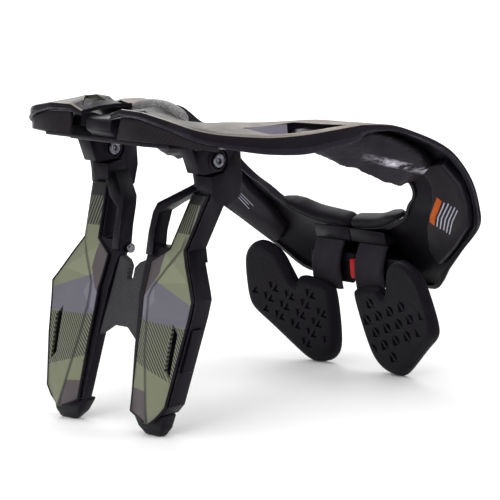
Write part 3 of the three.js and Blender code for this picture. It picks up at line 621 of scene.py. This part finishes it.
def skin(rings, joined=False):
    """Points and faces through rings of equally many points.

    The ends are capped, or the last ring is joined to the first.
    """
    count = len(rings[0])
    points = [p for ring in rings for p in ring]
    faces = []
    for r in range(len(rings) - 1):
        for i in range(count):
            a, b = r * count + i, r * count + (i + 1) % count
            faces.append((a, b, b + count, a + count))
    if joined:
        base = (len(rings) - 1) * count
        faces += [(base + n, base + (n + 1) % count, (n + 1) % count, n) for n in range(count)]
    else:
        faces.append(tuple(range(count - 1, -1, -1)))
        faces.append(tuple(range((len(rings) - 1) * count, len(rings) * count)))
    return points, faces


def cut(piece, cutter):
    """Takes the cutter's volume out of the piece."""
    tool = piece.modifiers.new("cut", "BOOLEAN")
    tool.operation = "DIFFERENCE"
    tool.solver = "EXACT"
    tool.object = cutter
    apply_modifiers(piece)
    bpy.data.objects.remove(cutter)


WINDOW = [(0.607, 0.052), (0.6, -0.237), (0.855, -0.323), (0.786, -0.161), (0.731, -0.032)]
RECESS = [(0.33, 0.42), (0.33, 0.9), (1.45, 0.6)]
RECESS_DEPTH, RECESS_CLEAR = 1.6, 5
WINDOW_CUT = (0.8, 1.05)
# The window's wall: its top and foot under the table's surface, and its thickness
WALL_TOP, WALL_FOOT, WALL_THICK = 1.2, 11.0, 2.2
FACET_THICK = 2.0


def build_window_wall(side, sign, stations):
    """The wall that goes down around the window, and the slanted face at its rear, painted pale as
    a highlight.
    """
    spots = [on_shell(one, share / 10, 0) for one in stations for share in range(11)]

    def under(x, y, down, out=0.0):
        cx = sum(c[0] for c in WINDOW) / len(WINDOW) * HALF_WIDTH
        cy = sum(spot(*c, 0).y for c in WINDOW) / len(WINDOW)
        at = spot(x, y, 0)
        push = Vector((at.x - cx, at.y - cy, 0)).normalized() * out
        near = min(spots, key=lambda p: (p.x - at.x) ** 2 + (p.y - at.y) ** 2)
        return Vector((at.x, at.y, near.z - down)) + push

    rings = [[under(*c, WALL_TOP, out) for c in WINDOW] for out in (0.0, WALL_THICK)]
    rings += [[under(*c, WALL_FOOT, out) for c in WINDOW] for out in (WALL_THICK, 0.0)]
    mesh = to_mesh("window_wall", *skin(rings, joined=True), sign)
    piece = link(f"{side}_window_wall", mesh, ["black"])
    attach(piece, NODES[f"{side}_table_shell"]["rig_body"])
    top = [under(*WINDOW[0], 0.6), under(0.602, -0.2, 0.6),
           under(0.68, -0.15, 6.5), under(0.705, -0.02, 3.5)]
    low = [p - Vector((0, 0, FACET_THICK)) for p in top]
    mesh = to_mesh("window_facet", *skin([top, low]), sign)
    piece = link(f"{side}_window_facet", mesh, ["facet"])
    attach(piece, NODES[f"{side}_table_shell"]["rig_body"])


def build_shell(side, sign):
    """One half's table, with its window cut through and a sunk olive inlay."""
    stations = shell_stations(STEPS, side)
    rings = [shell_ring(one) for one in stations]
    points, faces = skin(rings)
    count = len(rings[0])
    first_top = len(BEAD)
    black, top, _, bead, edge = range(len(SHELL_MATERIALS))
    slots = []
    for n in range(len(faces)):
        station, column = divmod(n, count)
        on_top = first_top <= column < first_top + len(TOP_SHARES)
        here = station / STEPS
        slot = black
        if station < len(rings) - 1 and on_top and here >= TAN_FROM:
            slot = top
        # The top's outer edge: a narrow painted highlight
        if column == first_top and here < EDGE_HIGHLIGHT_UNTIL:
            slot = edge
        # The bead's faces: painted lighter, as a highlight
        if column < first_top - 1 and BEAD_LIT_FROM < here < BEAD_LIT_UNTIL:
            slot = bead
        slots.append(slot)
    mesh = to_mesh(f"{side}_shell", points, faces, sign, slots)
    piece = link(f"{side}_shell", mesh, SHELL_MATERIALS)
    opening = [[spot(x, y, z) for x, y in WINDOW] for z in WINDOW_CUT]
    cutter = link("window_cutter", to_mesh("cutter", *skin(opening), sign), ["black"])
    cut(piece, cutter)
    near = lambda at: stations[round(at * STEPS)]
    low = [on_shell(near(at), share, RECESS_DEPTH) for at, share in RECESS]
    high = [on_shell(near(at), share, -RECESS_CLEAR) for at, share in RECESS]
    cutter = link("recess_cutter", to_mesh("cutter", *skin([low, high]), sign), ["olive"])
    cut(piece, cutter)
    smooth(piece, 42)
    stands_for(piece, f"{side}_table_shell")
    build_window_wall(side, sign, stations)


# ---- moulded pads


def rounded(outline, times=3):
    """Cuts the corners of a closed outline until it is smooth."""
    for _ in range(times):
        made = []
        for n, (x, z) in enumerate(outline):
            u, w = outline[(n + 1) % len(outline)]
            for near, far in ((0.76, 0.24), (0.24, 0.76)):
                made.append((x * near + u * far, z * near + w * far))
        outline = made
    return outline


def inside(outline, x, z):
    """Whether a point is inside a closed outline."""
    hit = False
    for n, (ax, az) in enumerate(outline):
        bx, bz = outline[n - 1]
        if (az > z) != (bz > z) and x < (bx - ax) * (z - az) / (bz - az) + ax:
            hit = not hit
    return hit


def gap_to(outline, x, z):
    """Distance from a point to a closed outline."""
    best = 1e9
    for n, (ax, az) in enumerate(outline):
        bx, bz = outline[n - 1]
        ux, uz = bx - ax, bz - az
        t = ((x - ax) * ux + (z - az) * uz) / max(ux * ux + uz * uz, 1e-12)
        t = min(1, max(0, t))
        best = min(best, math.hypot(x - ax - ux * t, z - az - uz * t))
    return best


CHEST_OUTLINE = [
    (0.525, 0.41), (0.46, 0.398), (0.403, 0.375), (0.362, 0.31), (0.338, 0.272), (0.314, 0.28),
    (0.295, 0.304), (0.097, 0.284), (0.076, 0.257), (0.103, 0.125), (0.136, 0.05), (0.193, 0.014),
    (0.267, 0), (0.346, 0), (0.425, 0.036), (0.565, 0.108), (0.683, 0.162), (0.7, 0.207),
    (0.678, 0.306), (0.652, 0.36), (0.591, 0.396)]
CHEST_FOOT, CHEST_SPREAD, CHEST_LEAN, CHEST_DEPTH = -164.5, 0.08, 0.2, 8.0
EDGE_ROUND = 5.5
EDGE_INSETS = (0.25, 0.8, 1.6, 2.7, 4.0, 5.5)
# The back's edge: distance from the back, and the share of the outline there
BACK_EDGE = ((1.2, 1.0), (0.3, 0.992), (0.0, 0.975))
PAD_GRID, PAD_COLUMNS, PAD_ROWS = 2.6, range(2, 42), range(38)
# Dents: the first one's place, the step and rise along a row, the height between rows
DENT_START, DENT_STEP, DENT_RISE, DENT_ROW = (18, 4), 14.8, 5.2, 11.0
DENT_PAIR = (((-4.4, 3.2), (-4.4, -3.6), (1.6, -2.6)), ((-2.2, 4.6), (3.8, 4.0), (3.8, -2.2)))
DENT_DEPTH, DENT_SLOPE, DENT_MARGIN, DENT_TOP = 1.7, 0.7, 0.8, 60


def dents(outline):
    """Pairs of small triangles in rows that follow the slanted lower edge."""
    found = []
    for row in range(-2, 7):
        for n in range(-3, 9):
            x = DENT_START[0] + n * DENT_STEP + (row % 2) * DENT_STEP * 0.5
            z = DENT_START[1] + row * DENT_ROW + n * DENT_RISE + (row % 2) * DENT_RISE * 0.5
            for corners in DENT_PAIR:
                shape = [(x + dx, z + dz) for dx, dz in corners]
                clear = all(inside(outline, *c) and gap_to(outline, *c) > EDGE_ROUND + DENT_MARGIN
                            for c in shape)
                if clear and max(c[1] for c in shape) < DENT_TOP:
                    found.append(shape)
    return found


def shrunk(shape, by):
    """A triangle moved in on all sides by about a distance."""
    cx, cz = sum(c[0] for c in shape) / 3, sum(c[1] for c in shape) / 3
    size = min(math.hypot(c[0] - cx, c[1] - cz) for c in shape)
    share = max(0.25, 1 - 1.6 * by / size)
    return [(cx + (x - cx) * share, cz + (z - cz) * share) for x, z in shape]


def build_chest_pad(side, sign):
    """The chest pad: a rounded sheet with dents sunk in its front, from one flat triangulation."""
    outline = rounded([(x * HALF_WIDTH, z * TABLE_HEIGHT) for x, z in CHEST_OUTLINE])
    flat = list(outline)
    edges = [(n, (n + 1) % len(flat)) for n in range(len(flat))]
    depth = [EDGE_ROUND] * len(flat)
    holes = dents(outline)
    for shape in holes:
        for by, sink in ((0.0, 0.0), (DENT_SLOPE, DENT_DEPTH)):
            first = len(flat)
            flat += shrunk(shape, by)
            depth += [sink] * 3
            edges += [(first, first + 1), (first + 1, first + 2), (first + 2, first)]

    def add(x, z, gap):
        inset = min(gap, EDGE_ROUND)
        flat.append((x, z))
        depth.append(EDGE_ROUND - math.sqrt(EDGE_ROUND ** 2 - (EDGE_ROUND - inset) ** 2))

    for inset in EDGE_INSETS:
        for n in range(len(outline)):
            (ax, az), (bx, bz) = outline[n], outline[(n + 1) % len(outline)]
            long = math.hypot(bx - ax, bz - az)
            x = (ax + bx) / 2 - (bz - az) / long * inset
            z = (az + bz) / 2 + (bx - ax) / long * inset
            if not inside(outline, x, z):
                x, z = (ax + bx) - x, (az + bz) - z
            gap = gap_to(outline, x, z)
            if inside(outline, x, z) and gap > inset * 0.96:
                add(x, z, gap)
    for a in PAD_COLUMNS:
        for b in PAD_ROWS:
            x, z = a * PAD_GRID, b * PAD_GRID
            if inside(outline, x, z):
                gap = gap_to(outline, x, z)
                clear = all(gap_to(h, x, z) > 0.9 and not inside(h, x, z) for h in holes)
                if gap > EDGE_ROUND + 1 and clear:
                    add(x, z, gap)
    flat = [Vector(p) for p in flat]
    points, _, triangles, owners, *_ = delaunay_2d_cdt(flat, edges, [], 0, 1e-6)
    sink = [depth[o[0]] for o in owners]
    faces = []
    slots = []
    for tri in triangles:
        cx, cz = (sum(points[i][a] for i in tri) / 3 for a in (0, 1))
        if inside(outline, cx, cz):
            faces.append(tuple(tri))
            slots.append(1 if all(sink[i] == DENT_DEPTH for i in tri) else 0)

    def place(x, z, down):
        return (x, CHEST_FOOT + CHEST_SPREAD * x + CHEST_LEAN * z - down, z)

    solid = [place(p[0], p[1], sink[n]) for n, p in enumerate(points)]
    rim = [next(n for n, o in enumerate(owners) if k in o) for k in range(len(outline))]
    rows = [rim]
    middle = (sum(p[0] for p in outline) / len(outline), sum(p[1] for p in outline) / len(outline))
    for back, pull in BACK_EDGE:
        rows.append(list(range(len(solid), len(solid) + len(outline))))
        for x, z in outline:
            x, z = middle[0] + (x - middle[0]) * pull, middle[1] + (z - middle[1]) * pull
            solid.append(place(x, z, CHEST_DEPTH - back))
    for upper, lower in zip(rows, rows[1:]):
        for n in range(len(outline)):
            m = (n + 1) % len(outline)
            faces.append((upper[n], upper[m], lower[m], lower[n]))
    faces.append(tuple(rows[-1]))
    slots += [0] * (len(faces) - len(slots))
    mesh = to_mesh("chest_foam", solid, faces, sign, slots)
    piece = link(f"{side}_chest_foam", mesh, ["pad_foam", "dent"])
    smooth(piece, 36)
    stands_for(piece, f"{side}_chest_pad")


# ---- soft pieces

FOLD_STRETCH, FOLD_HEIGHT = (1.6, 0.35, 1.0), 0.9


def boxy(value, power):
    """A sine or cosine bent so that its circle becomes squarer."""
    return math.copysign(abs(value) ** power, value)


def roll_ring(one, high, wide, centre):
    """The collar roll's section at one station of the shell."""
    ring = []
    for n in range(20):
        turn = n / 20 * 2 * math.pi
        up, out = boxy(math.cos(turn), 0.8), boxy(math.sin(turn), 0.8)
        ring.append(one["inner"] + one["across"] * (centre - high * up)
                    + one["down"] * (3.0 + wide * out))
    return ring


COLLAR_FROM, COLLAR_HIGH = 20, 4.5


def build_collar(side, sign):
    """The roll around the front of the neck opening, tapered at its ends, and its seam."""
    stations = [one for one in shell_stations(8) if one["k"] >= COLLAR_FROM]
    rings = []
    last = len(stations) - 1
    for n, one in enumerate(stations):
        size = min(1.0, 0.7 + 0.3 * (one["k"] - COLLAR_FROM))
        tip = min(1.0, math.sqrt(min(1, (n + 0.2) / 4)), math.sqrt(min(1, (last - n + 1.5) / 4)))
        high = COLLAR_HIGH * size
        rings.append(roll_ring(one, high * tip, high * 1.5 * tip, -0.3 - high))
    piece = link(f"{side}_collar_roll", to_mesh("collar_roll", *skin(rings), sign), ["pad_foam"])
    smooth(piece, 60)
    stands_for(piece, f"{side}_collar_pad")
    seam = [one["inner"] - one["across"] * 1.4 + one["down"] * 8.6 for one in stations[2:-1]]
    tube(f"{side}_collar_seam", [raw(p.x * sign, p.y, p.z) for p in seam], 0.55, "black",
         NODES[f"{side}_collar_pad"]["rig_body"])


def tube(name, points, radius, material, body):
    """A thin round bead along points of the frame."""
    curve = bpy.data.curves.new(name, "CURVE")
    curve.dimensions = "3D"
    curve.bevel_depth = radius * MM
    curve.bevel_resolution = 2
    line = curve.splines.new("POLY")
    line.points.add(len(points) - 1)
    for at, p in zip(line.points, points):
        at.co = (*p, 1)
    curve.use_fill_caps = True
    curve.materials.append(MATERIALS[material])
    piece = bpy.data.objects.new(name, curve)
    bpy.context.scene.collection.objects.link(piece)
    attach(piece, body)


def build_shoulder(side):
    """The shoulder pad's solid remeshed, relaxed and given long shallow folds."""
    node = f"{side}_shoulder_pad"
    piece = link(node + "_soft", solid_copy(node, node + "_soft"), ["lining"])
    remesh = piece.modifiers.new("remesh", "REMESH")
    remesh.mode = "VOXEL"
    remesh.voxel_size = 2.2 * MM
    relax = piece.modifiers.new("relax", "SMOOTH")
    relax.factor = 0.6
    relax.iterations = 14
    finer = piece.modifiers.new("finer", "SUBSURF")
    finer.levels = 1
    apply_modifiers(piece)
    for vertex in piece.data.vertices:
        at = Vector(a * b for a, b in zip(vertex.co, FOLD_STRETCH))
        fold = noise.noise(at * 60) + 0.5 * noise.noise(at * 140)
        vertex.co += vertex.normal * fold * FOLD_HEIGHT * MM
    smooth(piece, 80)
    stands_for(piece, node)


REAR_PAD_HALF, REAR_PAD_LOW, REAR_PAD_TOP, REAR_PAD_DROP = 32.8, 201.0, 219.6, 8.5
REAR_PAD_Y, REAR_PAD_THICK = 5.8, 4.4


def build_rear_pad():
    """The looped pad at the back of the neck opening."""
    rings = []
    for n in range(29):
        turn = n / 28 * 2 - 1
        x = REAR_PAD_HALF * turn
        tip = math.sqrt(max(0.0, 1 - abs(turn) ** 14)) * 0.92 + 0.08
        high = REAR_PAD_TOP - REAR_PAD_DROP * abs(turn) ** 2.3
        mid, half = (REAR_PAD_LOW + high) / 2, (high - REAR_PAD_LOW) / 2
        ring = []
        for m in range(20):
            a = m / 20 * 2 * math.pi
            back, up = boxy(math.sin(a), 0.55), boxy(math.cos(a), 0.55)
            y = REAR_PAD_Y + REAR_PAD_THICK * tip * back
            ring.append(Vector((x, y, mid + half * tip * up)))
        rings.append(ring)
    piece = link("rear_pad_cushion", to_mesh("rear_pad", *skin(rings)), ["loop"])
    smooth(piece, 70)
    stands_for(piece, "rear_collar_pad")


# ---- printed bars and the plates' raised rims

# The plates' outline: height, inner edge, outer edge and distance back, as shares
PLATE_ROWS = [
    (0.716, 0.328, 0.432, 0.232), (0.554, 0.274, 0.377, 0.471), (0.5135, 0.166, 0.421, 0.536),
    (0.437, 0.172, 0.506, 0.638), (0.414, 0.174, 0.532, 0.674), (0.36, 0.179, 0.521, 0.717),
    (0.257, 0.188, 0.497, 0.819), (0.099, 0.202, 0.451, 0.957), (0.072, 0.204, 0.412, 0.98),
    (0.045, 0.31, 0.352, 1.0),
]
STRUT_REACH = 69.0
BAR_STEPS, BAR_LIFT, BAR_THICK = 12, 0.12, 0.2


def build_plate_rim(side, sign):
    """A dark raised rim around the plate."""
    outer = [(o * HALF_WIDTH, back * STRUT_REACH, z * TABLE_HEIGHT) for z, i, o, back in PLATE_ROWS]
    inner = [(i * HALF_WIDTH, back * STRUT_REACH, z * TABLE_HEIGHT) for z, i, o, back in PLATE_ROWS]
    line = outer + inner[::-1]
    tube(f"{side}_plate_rim", [raw(x * sign, y - 0.5, z) for x, y, z in line], 1.0, "black",
         NODES[f"{side}_strut_plate"]["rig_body"])


def print_bars(side, bars):
    """Plain flat bars laid on the side panel; each has start, end, width and material."""
    panel_mesh = bpy.data.objects[f"{side}_side_panel_form"]
    tree = BVHTree.FromPolygons([v.co for v in panel_mesh.data.vertices],
                                [p.vertices for p in panel_mesh.data.polygons])
    for n, (start, end, width, material) in enumerate(bars):
        a, b = Vector((start[0], 0, start[1])), Vector((end[0], 0, end[1]))
        aside = Vector((b.z - a.z, 0, a.x - b.x)).normalized() * width / 2
        points = []
        for m in range(BAR_STEPS + 1):
            for edge in (-1, 0, 1):
                at = a.lerp(b, m / BAR_STEPS) + aside * edge
                place, normal, *_ = tree.ray_cast(raw(at.x, -80, at.z), Vector((0, -1, 0)))
                if place is not None:
                    outwards = normal.normalized() * (1 if normal.y > 0 else -1)
                    points.append(place + outwards * BAR_LIFT * MM)
        if len(points) < 3 * (BAR_STEPS + 1):
            continue
        faces = []
        for m in range(BAR_STEPS):
            for edge in (0, 1):
                c = m * 3 + edge
                faces.append((c, c + 1, c + 4, c + 3))
        mesh = bpy.data.meshes.new("bar")
        mesh.from_pydata(points, [], faces)
        piece = link(f"{side}_print_{n}", mesh, [material])
        body = piece.modifiers.new("body", "SOLIDIFY")
        body.thickness = BAR_THICK * MM
        body.offset = 0
        apply_modifiers(piece)
        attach(piece, NODES[f"{side}_side_panel"]["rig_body"])


def moved(point, direction, by):
    return (point[0] + direction[0] * by, point[1] + direction[1] * by)


def label_bars():
    """A plain block and five bars beside it, across the right panel's upper end."""
    along, across = (0.644, -0.765), (-0.944, -0.33)
    first = (-113.4, 136.8)
    bars = [(first, moved(first, along, 26.0), 4.4, "orange")]
    for n in range(1, 6):
        start = moved(moved(first, across, 1.4 + 3.3 * n), along, 1.2 if n % 2 else 0.2)
        bars.append((start, moved(start, along, 25.0 if n % 2 else 26.5), 1.0, "pale"))
    return bars


def small_bars():
    """Three short bars on the left panel."""
    along, across = (-0.61, -0.79), (0.79, -0.61)
    bars = []
    for n, long in enumerate((12.0, 9.0, 11.0)):
        start = moved((108.0, 121.0), across, 3.0 * n)
        bars.append((start, moved(start, along, long), 0.7, "pale"))
    return bars


# ---- arms

# The straps' line: height and distance forward, as shares
ARM_ROWS = [(0.4205, -0.887), (0.387, -0.868), (0.342, -0.852), (0.297, -0.8555), (0.262, -0.862)]
ARM_INNER, ARM_WIDTH, ARM_DEPTH = 8.6, 29.0, 3.4
ARM_STEPS = 6


def build_arm(side, sign):
    """The chest arm's strap, which ends behind the pad."""
    rows = [[z * TABLE_HEIGHT, y * FRONT_REACH] for z, y in ARM_ROWS]
    rings = []
    for n in range((len(rows) - 1) * ARM_STEPS + 1):
        k = min(n // ARM_STEPS, len(rows) - 2)
        z, y = catmull(rows, k, n / ARM_STEPS - k)
        rings.append([Vector((x, y - depth, z)) for x, depth in arm_profile()])
    piece = link(f"{side}_arm_strap", to_mesh("arm_strap", *skin(rings), sign), ["strap"])
    smooth(piece, 50)
    stands_for(piece, f"{side}_chest_arm")


def arm_profile():
    """Width and depth of the strap, with a raised border and rounded edges."""
    low, high, deep = ARM_INNER, ARM_INNER + ARM_WIDTH, ARM_DEPTH
    front = [(low, 1.2), (low + 0.3, 0.4), (low + 1.2, 0), (low + 3.0, 0), (low + 3.6, 0.35),
             (high - 3.6, 0.35), (high - 3.0, 0), (high - 1.2, 0), (high - 0.3, 0.4), (high, 1.2)]
    return front + [(high, deep - 0.6), (high - 0.6, deep), (low + 0.6, deep), (low, deep - 0.6)]


# ---- bolt cups, and the solids with rounded edges

# The cup's section: radius, and height over the bracket's side
CUP_PROFILE = [(7.6, 0.1), (7.4, 0.9), (6.9, 1.25), (6.3, 1.25), (5.9, 0.9), (5.5, 0.1)]
CUP_SIDES = 40
BRACKET_X, BRACKET_HALF = 57, 7.0


def pivot_ring(radius, x):
    """A circle of points around the struts' pivot."""
    turns = [2 * math.pi * n / CUP_SIDES for n in range(CUP_SIDES)]
    return [Vector((x, PIVOT_Y + radius * math.cos(a), PIVOT_Z + radius * math.sin(a)))
            for a in turns]


def build_bolt_cup(side, sign):
    """A raised ring around the bolt's head, on the bracket's flat side."""
    face = sign * BRACKET_X - BRACKET_HALF
    rings = [pivot_ring(radius, face - out) for radius, out in CUP_PROFILE]
    piece = link(f"{side}_bolt_cup", to_mesh("bolt_cup", *skin(rings, joined=True)), ["black"])
    smooth(piece, 40)
    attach(piece, "base")


DRESSED = [
    # node, material, width of the rounded edge, and the least angle that counts as an edge
    ("rear_skirt", "ribbed", 0.6, 28),
    ("side_panel", "panel", 1.4, 28),
    ("arm_block", "black", 0.8, 28),
    ("front_block", "black", 1.4, 28),
    ("strut_bracket", "black", 0.8, 28),
    ("strut_boot", "boot", 2.2, 24),
    ("strut_clip", "boot", 0.5, 28),
    ("strut", "black", 0.8, 24),
    ("pivot_bolt", "steel", 0.3, 40),
    ("bridge_screw", "steel", 0.5, 40),
]
for side, sign in SIDES:
    build_shell(side, sign)
    build_chest_pad(side, sign)
    build_collar(side, sign)
    build_arm(side, sign)
    build_bolt_cup(side, sign)
    build_plate_rim(side, sign)
    build_shoulder(side)
    dressed(f"{side}_strut_plate", f"camo_{side}", bevel=0.3, limit=30)
    for node, material, bevel, limit in DRESSED:
        dressed(f"{side}_{node}", material, bevel=bevel, limit=limit)
build_rear_pad()
print_bars("right", label_bars())
print_bars("left", small_bars())
dressed("rear_base", "black", bevel=0.8)
dressed("rear_centre_plate", "black", bevel=0.8)
dressed("strut_bridge", "rubber", bevel=1.2)
dressed("release_cheek", "black", bevel=0.3)
dressed("release_lever", "red", bevel=0.7)


# ---- floor, light and camera


def build_stage():
    """A pale floor, a white world, a broad overhead light and three soft lamps."""
    mesh = bpy.data.meshes.new("floor")
    reach = 12.0
    corners = [(-reach, -reach, 0), (reach, -reach, 0), (reach, reach, 0), (-reach, reach, 0)]
    mesh.from_pydata(corners, [], [(0, 1, 2, 3)])
    floor = bpy.data.objects.new("floor", mesh)
    bpy.context.scene.collection.objects.link(floor)
    g = Graph("pale_floor")
    shade = g.mix(g.noise(3.0), hue("f4f4f4"), hue("fafafa"))
    mesh.materials.append(g.finish(Base_Color=shade, Roughness=0.85))

    world = bpy.context.scene.world or bpy.data.worlds.new("studio")
    bpy.context.scene.world = world
    world.use_nodes = True
    back = world.node_tree.nodes["Background"]
    back.inputs["Color"].default_value = (1.0, 1.0, 1.0, 1.0)
    back.inputs["Strength"].default_value = 0.5
    bpy.context.scene.view_settings.view_transform = "Standard"

    overhead = bpy.data.lights.new("overhead", "SUN")
    overhead.energy = 2.1
    overhead.angle = math.radians(110)
    holder = bpy.data.objects.new("overhead", overhead)
    bpy.context.scene.collection.objects.link(holder)
    holder.rotation_euler = (math.radians(-14), math.radians(-6), 0)

    lights = [
        ("behind", (1.5, -0.9, 1.3), (0.0, 0.0, 0.15), 1.2, 16.0),
        ("left", (-0.6, 2.2, 0.9), (0.0, 0.0, 0.12), 0.7, 9.0),
        ("right", (-2.0, -0.9, 0.8), (0.0, 0.0, 0.12), 0.7, 8.0),
    ]
    for name, place, aim, size, power in lights:
        lamp = bpy.data.lights.new(name, "AREA")
        lamp.size = size
        lamp.energy = power
        holder = bpy.data.objects.new(name, lamp)
        bpy.context.scene.collection.objects.link(holder)
        holder.location = place
        holder.rotation_euler = (Vector(aim) - Vector(place)).to_track_quat("-Z", "Y").to_euler()


def build_camera():
    """The camera at the photograph's angle, solved from matching points of the two halves."""
    right = Vector((-0.64278761, -0.76385795, -0.057837))
    up = Vector((0.09693928, -0.15600342, 0.98298815))
    forward = Vector((0.75988609, -0.62624593, -0.1743249))
    lens = bpy.data.cameras.new("camera")
    lens.sensor_fit = "AUTO"
    lens.sensor_width = 36.0
    lens.lens = 275.7
    lens.clip_end = 50.0
    camera = bpy.data.objects.new("camera", lens)
    bpy.context.scene.collection.objects.link(camera)
    place = raw(-2050.51, 1619.56, 572.65)
    turn = Matrix((right, up, -forward)).transposed().to_4x4()
    camera.matrix_world = Matrix.Translation(place) @ turn
    bpy.context.scene.camera = camera


build_stage()
build_camera()
